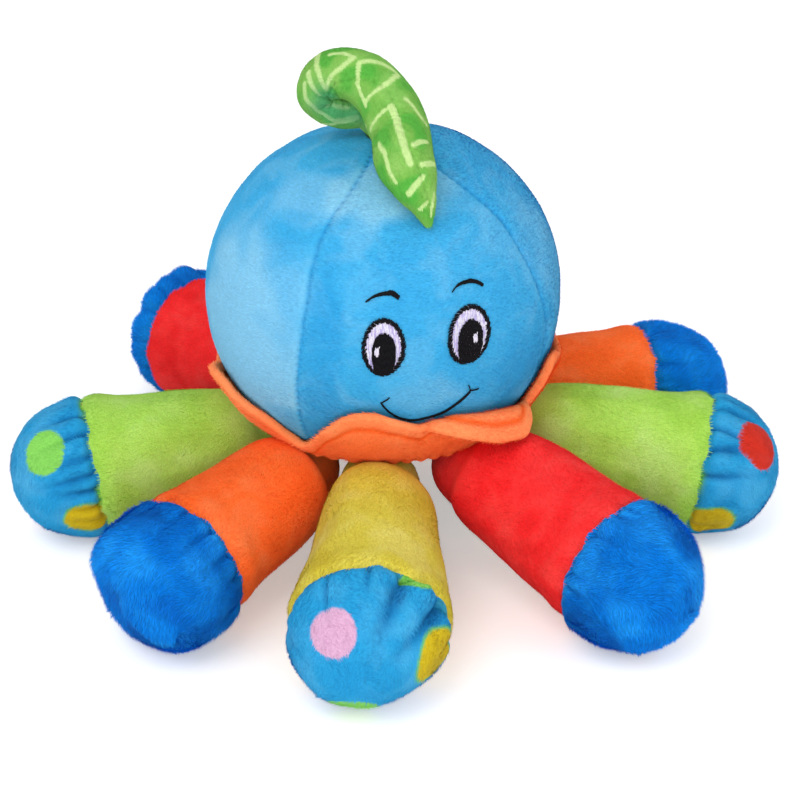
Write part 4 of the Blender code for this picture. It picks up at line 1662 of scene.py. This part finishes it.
        # The rim is a roll of its own, with a groove where it is stitched down
        groove = np.exp(-(((left - 0.0056) / 0.0012) ** 2))
        plump = 0.62 + 0.38 * smoothstep(0.0, 0.007, run) + 0.16 * np.exp(-(((left - 0.0025) / 0.0025) ** 2))
        half = (self.wall / 2 * (plump - 0.34 * groove))[..., None]
        outer, inner = middle + normal * half, middle - normal * half
        turns = np.radians((30, 60, 90, 120, 150))
        rim = [middle[-1] + half[-1] * (normal[-1] * math.cos(t) + along[-1] * math.sin(t)) for t in turns]
        foot = [middle[0] - half[0] * (normal[0] * math.cos(t) + along[0] * math.sin(t)) for t in turns]
        points = np.concatenate([outer, np.array(rim), inner[::-1], np.array(foot), outer[:1]])
        # Painted light and shade: paler all round and more so from the left side round to the back, paler on the rim
        # and on the folded-over tongue; darker in the rim's groove and towards the collar's sewn foot. The lumps are
        # the nap's own random tones.
        near_rim = np.exp(-((left / 0.0035) ** 2))
        turned = smoothstep(0.001, 0.006, self.knotted(azimuth, self.turnover, 1))[None, :]
        folded = turned * smoothstep(0.013, 0.008, left) * 0.55
        patches = 0.3 * smoothstep(0.1, 0.6, lumps(middle, 0.02, 31.0))
        lit = 0.35 + 0.55 * smoothstep(-38, -52, azimuth)[None, :]
        paler = np.clip(lit + 0.45 * near_rim + folded + patches, 0, 1)
        paler = paler * (1 - 0.9 * groove)
        deeper = 0.15 * np.exp(-run / 0.008) + 0.25 * smoothstep(0.1, 0.6, -lumps(middle, 0.02, 31.0)) + 0.6 * groove
        ends = np.ones((len(turns), 1))
        values = {}
        for name, tone in (("paler", paler), ("deeper", deeper)):
            values[name] = np.concatenate([tone, ends * tone[-1:], tone[::-1], ends * tone[:1], tone[:1]])
        out = points - self.head.middle
        out = out / np.linalg.norm(out, axis=-1, keepdims=True)
        across = np.cross(out, (0, 0, 1.0))
        sway = lumps(points, 0.022, 33.0)[..., None] * 1.2
        values["nap"] = across + np.cross(across, out) * sway
        mesh = grid_mesh("collar_cloth", points, True, values=values)
        cloth = new_piece("collar_cloth", mesh, shop.material(Cloth.ORANGE))
        sizes = {"Density": 1.3e6, "Length": 0.0017, "Width": 0.00034, "Lean": 1.8, "Tangle": 0.4}
        pile = shop.pile.grow("collar_pile", cloth, sizes)
        shop.settle(cloth, "head", Cloth.ORANGE, ("collar",))
        shop.settle(pile, "head", Cloth.ORANGE)


# The printed strokes that show from the front: each one's half width in millimetres, and its
# course as millimetres along the stalk and degrees round it
STROKES = (
    (0.75, ((41.8, -36), (42.2, 0), (42.5, 39), (42.5, 72), (46.5, 51), (50.7, 24), (53.3, -9))),
    (0.75, ((53.3, -9), (49.2, -15), (46.2, -12))),
    (0.80, ((55.7, -3), (57.2, 18), (59.7, 39), (64.0, 50), (70.9, 57))),
    (0.80, ((55.7, -3), (58.2, -18), (62.2, -33), (65.8, -45), (66.9, -48))),
    (0.75, ((69.7, 54), (69.1, 36), (69.1, 15), (68.5, -15), (66.9, -45))),
    (0.80, ((82.2, 75), (80.5, 48), (78.8, 24), (78.8, 9))),
    (1.40, ((78.8, 9), (85.0, 8), (91.6, 6), (97.4, 0), (104.2, 0))),
    (0.80, ((99.4, -18), (97.0, -57))),
    (0.80, ((106.0, -24), (106.7, -66))),
    (0.80, ((96.2, 51), (98.6, 42), (104.2, 48), (107.7, 48))),
    (0.75, ((112.6, 36), (111.7, 15), (109.9, -18))),
    (0.60, ((119.3, 30), (117.7, -9))),
    (0.60, ((116.3, -45), (120.5, -27), (123.4, -21))),
    (0.75, ((77.0, -24), (80.0, -33), (85.7, -42), (88.0, -57))),
    (0.70, ((39.2, 15), (38.4, 42), (37.6, 78))),
    (0.70, ((24.3, 111), (16.9, 114))),
    (0.75, ((36.5, 30), (33.1, 48), (31.0, 69), (25.9, 75), (21.7, 72), (13.8, 90))),
    (0.75, ((24.0, 36), (20.2, 66), (13.2, 84))),
    (0.70, ((30.0, -30), (33.0, -5), (27.0, 15), (20.0, 8))),
    (0.70, ((16.0, 10), (11.0, 35), (5.0, 30))),
    (0.70, ((12.0, -40), (17.0, -20), (24.0, -28))),
)


@dataclass
class Stalk:
    """The curled stalk of printed cloth on the crown."""

    head: Head
    radius: float = 0.012
    span: float = 0.075
    root_lift: float = 0.0045
    turn: float = -14.3
    columns: int = 150
    rings: int = 300
    hidden_strokes: int = 34
    seam_course: tuple[tuple[float, ...], ...] = (
        (0, 30, 62, 71, 91, 105, 118, 128),
        (150, 130, 20, 0, 0, -15, -18, -15),
    )
    route: tuple[tuple[float, float, float], ...] = (
        (0.000, 0.000, 0.000),
        (-0.095, -0.007, 0.090),
        (-0.225, -0.013, 0.096),
        (-0.335, -0.020, 0.158),
        (-0.315, -0.045, 0.263),
        (-0.190, -0.095, 0.323),
        (-0.022, -0.195, 0.262),
        (0.088, -0.360, 0.110),
        (0.112, -0.525, 0.018),
        (0.165, -0.622, -0.090),
        (0.214, -0.662, -0.192),
        (0.246, -0.690, -0.305),
    )
    girth: tuple[float, ...] = (0.66, 0.68, 0.72, 0.75, 0.80, 0.86, 0.94, 1.00, 0.99, 0.80, 0.47, 0.10)

    def make(self, shop: Workshop) -> None:
        """Make the stalk, its printed strokes and its pile.

        Args:
            shop: The shared finishes and trees.
        """
        share = np.linspace(0, 1, self.rings)
        middles = smooth_course(np.array(self.route) * self.span, share)
        radii = smooth_course(np.array(self.girth)[:, None] * self.radius, share)
        ways = np.gradient(middles, axis=0)
        ways = ways / np.linalg.norm(ways, axis=1, keepdims=True)
        side = np.cross(ways[0], (0, 1.0, 0))
        frames = []
        for way in ways:
            side = side - way * (side @ way)
            side = side / np.linalg.norm(side)
            frames.append((side, np.cross(way, side)))
        sides, ups = np.array(frames).transpose(1, 0, 2)
        turn = np.linspace(0, 2 * math.pi, self.columns, endpoint=False)[None, :]
        travelled = np.concatenate([[0], np.cumsum(np.linalg.norm(np.diff(middles, axis=0), axis=1))])[:, None]
        across = sides[:, None] * np.cos(turn)[..., None] + ups[:, None] * np.sin(turn)[..., None]
        base = middles[:, None] + across * radii[..., None]
        # The crown's opening draws the cloth in, and the inside of the curl is creased
        folds = 0.0007 * np.sin(travelled / 0.0050 * math.pi) * np.maximum(np.cos(turn - 1.6), 0) ** 2
        folds = folds * np.exp(-(((travelled - 0.030) / 0.016) ** 2))
        thin = np.minimum(radii / 0.006, 1)
        shaped = radii + folds + thin * (0.0006 * lumps(base, 0.013, 3.0) + 0.00025 * lumps(base, 0.005, 4.0))
        shaped = shaped - self.seam_depth(travelled * 1000, turn, radii) * thin
        points = middles[:, None] + across * shaped[..., None]
        rotation = np.array(Matrix.Rotation(math.radians(self.turn), 3, "Z"))
        root = self.head.middle + np.array((0, 0, self.head.radius - self.head.crown_dip + self.root_lift))
        points = points @ rotation.T + root
        around = np.degrees(turn)
        tone = lumps(base, 0.010, 21.0)
        # Painted shade: the inner side of the curl, over its first 40 to 50 mm, takes the darker inside colour.
        inside = np.exp(-(((around - 95) / 38) ** 2)) * (1 - smoothstep(40, 50, travelled * 1000))
        values = {
            "stroke": self.strokes(travelled * 1000 + 0 * turn, around + 0 * travelled, radii * 1000),
            "inside": np.clip(0.75 * inside, 0, 1),
            "paler": 0.5 * smoothstep(0.1, 0.5, tone),
            "deeper": 0.8 * smoothstep(0.0, 0.4, -tone),
            "nap": np.broadcast_to((ways @ rotation.T)[:, None], points.shape),
        }
        tip = points[-1].mean(axis=0)
        start = root - (ways[0] @ rotation.T) * radii[0]
        mesh = grid_mesh("stalk_cloth", points, True, (start, tip), values)
        cloth = new_piece("stalk_cloth", mesh, shop.material(Cloth.PRINT))
        sizes = {"Density": 1.8e6, "Length": 0.0010, "Width": 0.00028, "Lean": 2.2, "Tangle": 0.35}
        pile = shop.pile.grow("stalk_pile", cloth, sizes)
        shop.settle(cloth, "stalk", Cloth.PRINT, ("stalk_cover",))
        shop.settle(pile, "stalk", Cloth.PRINT)

    def seam_depth(self, along: np.ndarray, turn: np.ndarray, radii: np.ndarray) -> np.ndarray:
        """How deep the stalk's own seam draws the cloth in, with a pucker at each stitch.

        Args:
            along: Places along the stalk.
            turn: Turns round it.
            radii: Its radii there.

        Returns:
            The depths.
        """
        at = np.radians(np.interp(along, *self.seam_course))
        off = (turn - at + math.pi) % (2 * math.pi) - math.pi
        aside = np.abs(off) * radii
        stitched = 0.7 + 0.4 * np.sin(along / 3.4 * 2 * math.pi)
        pucker = 0.0003 * np.exp(-(((aside - 0.0020) / 0.0014) ** 2)) * np.sin(along / 3.4 * 2 * math.pi)
        return 0.0010 * stitched * np.exp(-((aside / 0.0008) ** 1.4)) - pucker

    def strokes(self, along: np.ndarray, around: np.ndarray, radii: np.ndarray) -> np.ndarray:
        """How much of the print's light colour every point carries.

        Args:
            along: Millimetres along the stalk.
            around: Degrees round it.
            radii: The stalk's radius in millimetres.

        Returns:
            From 0 to 1.
        """
        rng = np.random.default_rng(12)
        drawn = list(STROKES)
        for number in range(self.hidden_strokes):
            at = (number + rng.uniform(0, 1)) * 122 / self.hidden_strokes
            turn = rng.uniform(115, 275)
            angle, half = rng.uniform(-1.4, 1.4), rng.uniform(3.0, 5.5)
            bend = rng.uniform(-2, 2)
            steps = [(-half, 0), (0, bend), (half, 0)]
            course = []
            for run, aside in steps:
                forward = run * math.cos(angle) - aside * math.sin(angle)
                sideways = run * math.sin(angle) + aside * math.cos(angle)
                course.append((at + forward, turn + math.degrees(sideways / 9.0)))
            drawn.append((0.75, tuple(course)))
        turn_at = np.radians(around)
        ragged = 0.07 * np.sin(along * 1.9 + turn_at * 7) + 0.04 * np.sin(along * 4.3 - turn_at * 11)
        amount = np.zeros(along.shape)
        for half, course in drawn:
            middle = sum(turn for _, turn in course) / len(course)
            off = (around - middle + 180) % 360 - 180
            places = np.array([(a, math.radians(t - middle)) for a, t in course])
            # The course is read with the radius that the stalk has along it
            girth = float(np.interp(places[:, 0].mean(), along[:, 0], radii[:, 0]))
            distance = distance_to(places * (1, girth), along, np.radians(off) * girth) + ragged
            amount = np.maximum(amount, 1 - smoothstep(half - 0.10, half + 0.35, distance))
        return amount


@dataclass(frozen=True)
class EyeLook:
    """How one embroidered eye is sewn, in metres along the cloth from its middle.

    Attributes:
        azimuth: Where its middle is round the head, in degrees.
        latitude: Its middle's height on the head, in degrees.
        half: Its half width and half height.
        lean: How far its top leans to the right.
        pupil: The left, right, top and bottom edges of the pupil.
        glint: The middle of the glint.
    """

    azimuth: float
    latitude: float
    half: tuple[float, float]
    lean: float
    pupil: tuple[float, float, float, float]
    glint: tuple[float, float]


EYES = {
    "left": EyeLook(-13.96, 7.9, (0.0086, 0.0118), 0.0002, (-0.0046, 0.0050, 0.0057, -0.0112), (-0.0026, -0.0017)),
    "right": EyeLook(13.4, 8.9, (0.0093, 0.0120), 0.0011, (-0.0052, 0.0058, 0.0059, -0.0114), (0.0020, -0.0017)),
}

# Each brow's course as azimuth, latitude and half thickness
BROWS = {
    "left": (
        (-19.5, 22.0, 0.0004),
        (-16.9, 23.6, 0.0006),
        (-14.0, 24.4, 0.0007),
        (-11.0, 24.5, 0.0009),
        (-8.8, 23.1, 0.0007),
    ),
    "right": (
        (9.5, 23.2, 0.0003),
        (11.7, 24.7, 0.0005),
        (15.6, 25.1, 0.0007),
        (18.6, 24.4, 0.0006),
        (20.8, 22.8, 0.0004),
    ),
}

# The smile's course and half thickness in metres along the cloth, and the ticks at its ends
SMILE_AT = (0.0, -19.3)
SMILE = (
    (-0.0182, 0.0106, 0.00052),
    (-0.0163, 0.0074, 0.00046),
    (-0.0139, 0.0046, 0.00042),
    (-0.0107, 0.0021, 0.00042),
    (-0.0057, 0.0001, 0.00044),
    (0.0000, 0.0007, 0.00050),
    (0.0074, 0.0027, 0.00060),
    (0.0137, 0.0071, 0.00066),
    (0.0176, 0.0113, 0.00058),
)
TICKS = (
    ((-0.0184, 0.0106), (-0.0149, 0.0133)),
    ((0.0176, 0.0110), (0.0164, 0.0143)),
    ((0.0170, 0.0116), (0.0212, 0.0112)),
)


@dataclass
class Face:
    """The embroidered face."""

    head: Head
    thread: float = 0.00019
    outline: float = 0.0015

    def spot(self, at: tuple[float, float], azimuth: np.ndarray, latitude: np.ndarray) -> tuple[np.ndarray, np.ndarray]:
        """Where places of the head are, measured along the cloth from a spot of the face.

        Args:
            at: The spot's azimuth and latitude, in degrees.
            azimuth: Degrees round from the face.
            latitude: Degrees above the head's middle.

        Returns:
            The distances across and up.
        """
        off = (azimuth - at[0] + 180) % 360 - 180
        across = np.radians(off) * self.head.radius * math.cos(math.radians(at[1]))
        return across, np.radians(latitude - at[1]) * self.head.radius

    def place(
        self, at: tuple[float, float], across: np.ndarray, up: np.ndarray, lift: np.ndarray | float
    ) -> np.ndarray:
        """Points measured along the cloth from a spot of the face."""
        turn = at[0] + np.degrees(across / (self.head.radius * math.cos(math.radians(at[1]))))
        return self.head.point(turn, at[1] + np.degrees(up / self.head.radius), lift)

    def bare(self, azimuth: np.ndarray, latitude: np.ndarray) -> np.ndarray:
        """How bare of pile the cloth is, which it is under the embroidery.

        Args:
            azimuth: Degrees round from the face.
            latitude: Degrees above the head's middle.

        Returns:
            The amounts, from 0 to 1.
        """
        azimuth, latitude = np.broadcast_arrays(azimuth, latitude)
        amount = np.zeros(latitude.shape)
        for eye in EYES.values():
            across, up = self.spot((eye.azimuth, eye.latitude), azimuth, latitude)
            reach = np.hypot((across - eye.lean * up / eye.half[1]) / eye.half[0], up / eye.half[1])
            amount = np.maximum(amount, 1 - smoothstep(0.97, 1.03, reach))
        for brow in BROWS.values():
            course = np.array([self.spot((0.0, 24.0), np.array(a), np.array(b)) for a, b, _ in brow])
            distance = distance_to(course, *self.spot((0.0, 24.0), azimuth, latitude))
            amount = np.maximum(amount, 1 - smoothstep(0.0004, 0.0011, distance))
        across, up = self.spot(SMILE_AT, azimuth, latitude)
        distance = distance_to(np.array([knot[:2] for knot in SMILE]), across, up)
        return np.maximum(amount, 0.9 * (1 - smoothstep(0.0003, 0.0010, distance)))

    def stitch(
        self, at: tuple[float, float], start: tuple[float, float], end: tuple[float, float], base: float
    ) -> np.ndarray:
        """One raised stitch between two places, as four points.

        Args:
            at: The spot's azimuth and latitude, in degrees.
            start: Its first end.
            end: Its other end.
            base: Its height.

        Returns:
            The points.
        """
        share = np.array((0.0, 0.25, 0.75, 1.0))
        across = start[0] + (end[0] - start[0]) * share
        up = start[1] + (end[1] - start[1]) * share
        lift = base + self.thread * np.array((-1.2, 0.9, 0.9, -1.2))
        return self.place(at, across, up, lift)

    def filled(
        self,
        at: tuple[float, float],
        box: tuple[float, float, float, float],
        base: float,
        lean: float,
        rng: np.random.Generator,
    ) -> list[np.ndarray]:
        """Upright stitches that fill an oval, in rows that overlap unevenly.

        Args:
            at: The spot of the face that it is measured from.
            box: The oval's left, right, top and bottom.
            base: The stitches' height over the cloth.
            lean: How far a point 1 m up moves to the right.
            rng: Where its unevenness comes from.

        Returns:
            The stitches.
        """
        left, right, top, bottom = box
        half, tall = (right - left) / 2, (top - bottom) / 2
        middle, height = (left + right) / 2, (top + bottom) / 2
        count = int(2 * half / (self.thread * 1.35))
        lines = []
        for i in range(count + 1):
            u = 2 * i / count - 1
            reach = tall * (max(1 - abs(u) ** 2.2, 0)) ** (1 / 2.2)
            high = height + reach + rng.uniform(-0.0003, 0.0006)
            y = height - reach - rng.uniform(-0.0003, 0.0006)
            while y < high - 0.0003:
                end = min(y + rng.uniform(0.0022, 0.0042), high)
                x = middle + u * half
                shift = rng.uniform(-0.00006, 0.00006)
                lift = base + rng.uniform(0, 0.00008)
                lines.append(self.stitch(at, (x + shift + lean * y, y), (x + lean * end, end), lift))
                y = end - 0.0001
        return lines

    def ring(self, eye: EyeLook, rng: np.random.Generator) -> list[np.ndarray]:
        """The black outline of an eye: satin stitches across it, uneven at both ends.

        Args:
            eye: The eye.
            rng: Where its unevenness comes from.

        Returns:
            The stitches.
        """
        at = (eye.azimuth, eye.latitude)
        lean = eye.lean / eye.half[1]
        lines = []
        count = 190
        for i in range(count):
            turn = 2 * math.pi * i / count
            way = (math.cos(turn + 0.10), math.sin(turn + 0.10))
            out = rng.uniform(-0.0002, 0.0005)
            inner = self.outline + rng.uniform(-0.0003, 0.0005)
            start = ((eye.half[0] - inner) * math.cos(turn), (eye.half[1] - inner) * math.sin(turn))
            end = ((eye.half[0] + out) * way[0], (eye.half[1] + out) * way[1])
            start, end = (start[0] + lean * start[1], start[1]), (end[0] + lean * end[1], end[1])
            lines.append(self.stitch(at, start, end, 0.0008))
        return lines

    def make_eye(self, shop: Workshop, side: str, eye: EyeLook) -> None:
        """One eye: a white ground, some of its stitches again in lilac as painted shade, a black outline, the pupil and
        its glint.

        Args:
            shop: The shared finishes and trees.
            side: Left or right.
            eye: The eye.
        """
        rng = np.random.default_rng(20 + len(side))
        at = (eye.azimuth, eye.latitude)
        lean = eye.lean / eye.half[1]
        reach = (eye.half[0] - self.outline * 0.6, eye.half[1] - self.outline * 0.6)
        ground = self.filled(at, (-reach[0], reach[0], reach[1], -reach[1]), 0.0004, lean, rng)
        # A random share of the white stitches is sewn again just above, in lilac: painted shade on the white thread.
        painted_shade_stitches = [line for line in ground if rng.random() < 0.30]
        glint = (eye.glint[0] - 0.0010, eye.glint[0] + 0.0010, eye.glint[1] + 0.0015, eye.glint[1] - 0.0015)
        shine = self.filled(at, glint, 0.0012, 0.0, rng)
        spur = (eye.glint[0] + 0.0004, eye.glint[1] + 0.0008)
        shine.append(self.stitch(at, spur, (spur[0] + 0.0008, spur[1] + 0.0017), 0.0012))
        for name, lines, cloth, nodes in (
            ("eye_white", ground, Cloth.WHITE, ("eye_white",)),
            ("eye_painted_shade", [line + (line - self.head.middle) * 0.0009 for line in painted_shade_stitches], Cloth.WHITE_IN_PAINTED_SHADE, ()),
            ("eye_outline", self.ring(eye, rng), Cloth.BLACK, ("eye_outline",)),
            ("pupil", self.filled(at, eye.pupil, 0.0009, lean, rng), Cloth.BLACK, ("pupil",)),
            ("glint", shine, Cloth.WHITE, ("glint",)),
        ):
            piece = shop.stitches.sew(f"{side}_{name}_stitches", lines, self.thread, shop.material(cloth))
            slot = Cloth.BLACK if cloth is Cloth.BLACK else Cloth.WHITE
            shop.settle(piece, "head", slot, tuple(f"{side}_{node}" for node in nodes))

    def make_brow(self, shop: Workshop, side: str, course: tuple[tuple[float, float, float], ...]) -> None:
        """A short arched brow of satin stitches.

        Args:
            shop: The shared finishes and trees.
            side: Left or right.
            course: The brow's course.
        """
        rng = np.random.default_rng(30 + len(side))
        at = (0.0, 24.0)
        knots = np.array([(*self.spot(at, np.array(a), np.array(b)), thick) for a, b, thick in course])
        lines = []
        for across, up, thick in smooth_course(knots, np.linspace(0, 1, 54)).tolist():
            low = (across - 0.0004, up - thick - rng.uniform(-0.0001, 0.0002))
            lines.append(self.stitch(at, low, (across + 0.0003, up + thick + rng.uniform(-0.0001, 0.0002)), 0.0006))
        piece = shop.stitches.sew(f"{side}_brow_stitches", lines, self.thread, shop.material(Cloth.BLACK))
        shop.settle(piece, "head", Cloth.BLACK, (f"{side}_brow",))

    def make_smile(self, shop: Workshop) -> None:
        """The smile, a narrow cord of stitches with ticks at its ends.

        Args:
            shop: The shared finishes and trees.
        """
        rng = np.random.default_rng(41)
        course = smooth_course(np.array(SMILE), np.linspace(0, 1, 64))
        lines = []
        for share in (-1.0, -0.35, 0.35, 1.0):
            for i in range(0, 61):
                a, b = course[i], course[i + 3]
                shift = rng.uniform(-0.00008, 0.00008)
                start = (a[0], a[1] + share * max(a[2] - self.thread, 0) + shift)
                end = (b[0], b[1] + share * max(b[2] - self.thread, 0) + shift)
                lines.append(self.stitch(SMILE_AT, start, end, 0.0005))
        for start, end in TICKS:
            for shift in (-0.00015, 0.00015):
                lines.append(self.stitch(SMILE_AT, (start[0], start[1] + shift), (end[0], end[1] + shift), 0.0006))
        piece = shop.stitches.sew("smile_stitches", lines, self.thread, shop.material(Cloth.BLACK))
        shop.settle(piece, "head", Cloth.BLACK, ("smile",))

    def make(self, shop: Workshop) -> None:
        """Make the whole face.

        Args:
            shop: The shared finishes and trees.
        """
        for side, eye in EYES.items():
            self.make_eye(shop, side, eye)
        for side, course in BROWS.items():
            self.make_brow(shop, side, course)
        self.make_smile(shop)


@dataclass
class Studio:
    """The pale floor, the soft lamps and the camera at the photograph's angle."""

    turn: float = -14.3
    place: tuple[float, float, float] = (0.0022, -0.844, 0.5232)
    target: tuple[float, float, float] = (0.0022, 0.0, 0.0554)
    lens: float = 99.36

    def turned(self, point: tuple[float, float, float]) -> Vector:
        """A point given along the camera's own directions."""
        return Matrix.Rotation(math.radians(self.turn), 3, "Z") @ Vector(point)

    def make_camera(self) -> None:
        """Stand the camera where the photograph was taken from."""
        data = bpy.data.cameras.new("camera")
        data.sensor_width = 36
        data.lens = self.lens
        camera = bpy.data.objects.new("camera", data)
        bpy.context.scene.collection.objects.link(camera)
        camera.location = self.turned(self.place)
        look = self.turned(self.target) - camera.location
        camera.rotation_euler = look.to_track_quat("-Z", "Y").to_euler()
        bpy.context.scene.camera = camera

    def make_floor(self) -> None:
        """A white floor that keeps the toy's shadow."""
        mesh = bpy.data.meshes.new("floor")
        size = 6.0
        mesh.from_pydata([(-size, -size, 0), (size, -size, 0), (size, size, 0), (-size, size, 0)], [], [(0, 1, 2, 3)])
        material = bpy.data.materials.new("painted_board_white")
        material.use_nodes = True
        tree = material.node_tree
        shader = tree.nodes["Principled BSDF"]
        shader.inputs["Base Color"].default_value = (0.92, 0.92, 0.92, 1)
        shader.inputs["Roughness"].default_value = 0.9
        seen = add(tree, "ShaderNodeLightPath")
        glow = add(tree, "ShaderNodeMath", {"operation": "MULTIPLY"}, {0: seen.outputs["Is Camera Ray"], 1: 0.34})
        shader.inputs["Emission Color"].default_value = (1, 1, 1, 1)
        tree.links.new(glow.outputs[0], shader.inputs["Emission Strength"])
        floor = new_piece("floor", mesh, material)

    def make_light(self) -> None:
        """Even light from all round, with a broad soft lamp above the camera's left."""
        world = bpy.data.worlds.new("studio")
        bpy.context.scene.world = world
        world.use_nodes = True
        tree = world.node_tree
        seen = add(tree, "ShaderNodeLightPath")
        strength = add(
            tree, "ShaderNodeMapRange", links={"Value": seen.outputs["Is Camera Ray"], "To Min": 0.74, "To Max": 1.0}
        )
        background = tree.nodes["Background"]
        background.inputs["Color"].default_value = (1, 1, 1, 1)
        tree.links.new(strength.outputs[0], background.inputs["Strength"])
        for name, place, size, power in (
            ("lamp_above", (-0.45, -0.75, 1.25), 0.9, 7.5),
            ("lamp_right", (1.0, -0.5, 0.7), 0.8, 2.5),
            ("lamp_low", (-0.1, -1.2, 0.22), 0.8, 5.2),
        ):
            data = bpy.data.lights.new(name, "AREA")
            data.size = size
            data.energy = power
            lamp = bpy.data.objects.new(name, data)
            bpy.context.scene.collection.objects.link(lamp)
            lamp.location = self.turned(place)
            aim = Vector((0, 0, 0.08)) - lamp.location
            lamp.rotation_euler = aim.to_track_quat("-Z", "Y").to_euler()

    def make(self) -> None:
        """Set the whole stage."""
        self.make_camera()
        self.make_floor()
        self.make_light()
        bpy.context.scene.view_settings.view_transform = "Standard"


def dress_filling(shop: Workshop) -> None:
    """Give the hidden masses of filling the look of loose fibre.

    Args:
        shop: The shared finishes and trees.
    """
    for name, node in frame["nodes"].items():
        if name.endswith("filling"):
            node.data.materials.clear()
            node.data.materials.append(shop.material(Cloth.FILLING))


def main() -> None:
    """Build the toy piece by piece, and its stage."""
    Studio().make()
    shop = Workshop()
    head = Head()
    face = Face(head)
    head.make_panels(shop, face.bare)
    roots = {joint["child"]: np.array(joint["pos_m"]) for joint in frame["joints"]}
    legs = [Leg(name, look, roots[f"{name}_leg"], number + 1.0) for number, (name, look) in enumerate(LEGS.items())]
    head.make_underside(shop, [leg.root for leg in legs], legs[0].root_radius)
    shapes = [leg.shape() for leg in legs]
    swollen = [points for points, _, _ in shapes]
    swollen = Stuffing().swell([(points, seam_row) for points, seam_row, _ in shapes])
    for leg, points, (_, seam_row, deep) in zip(legs, swollen, shapes):
        leg.make(shop, points, seam_row, deep)
    Collar(head).make(shop)
    Stalk(head).make(shop)
    face.make(shop)
    dress_filling(shop)


if __name__ == "__main__":
    main()
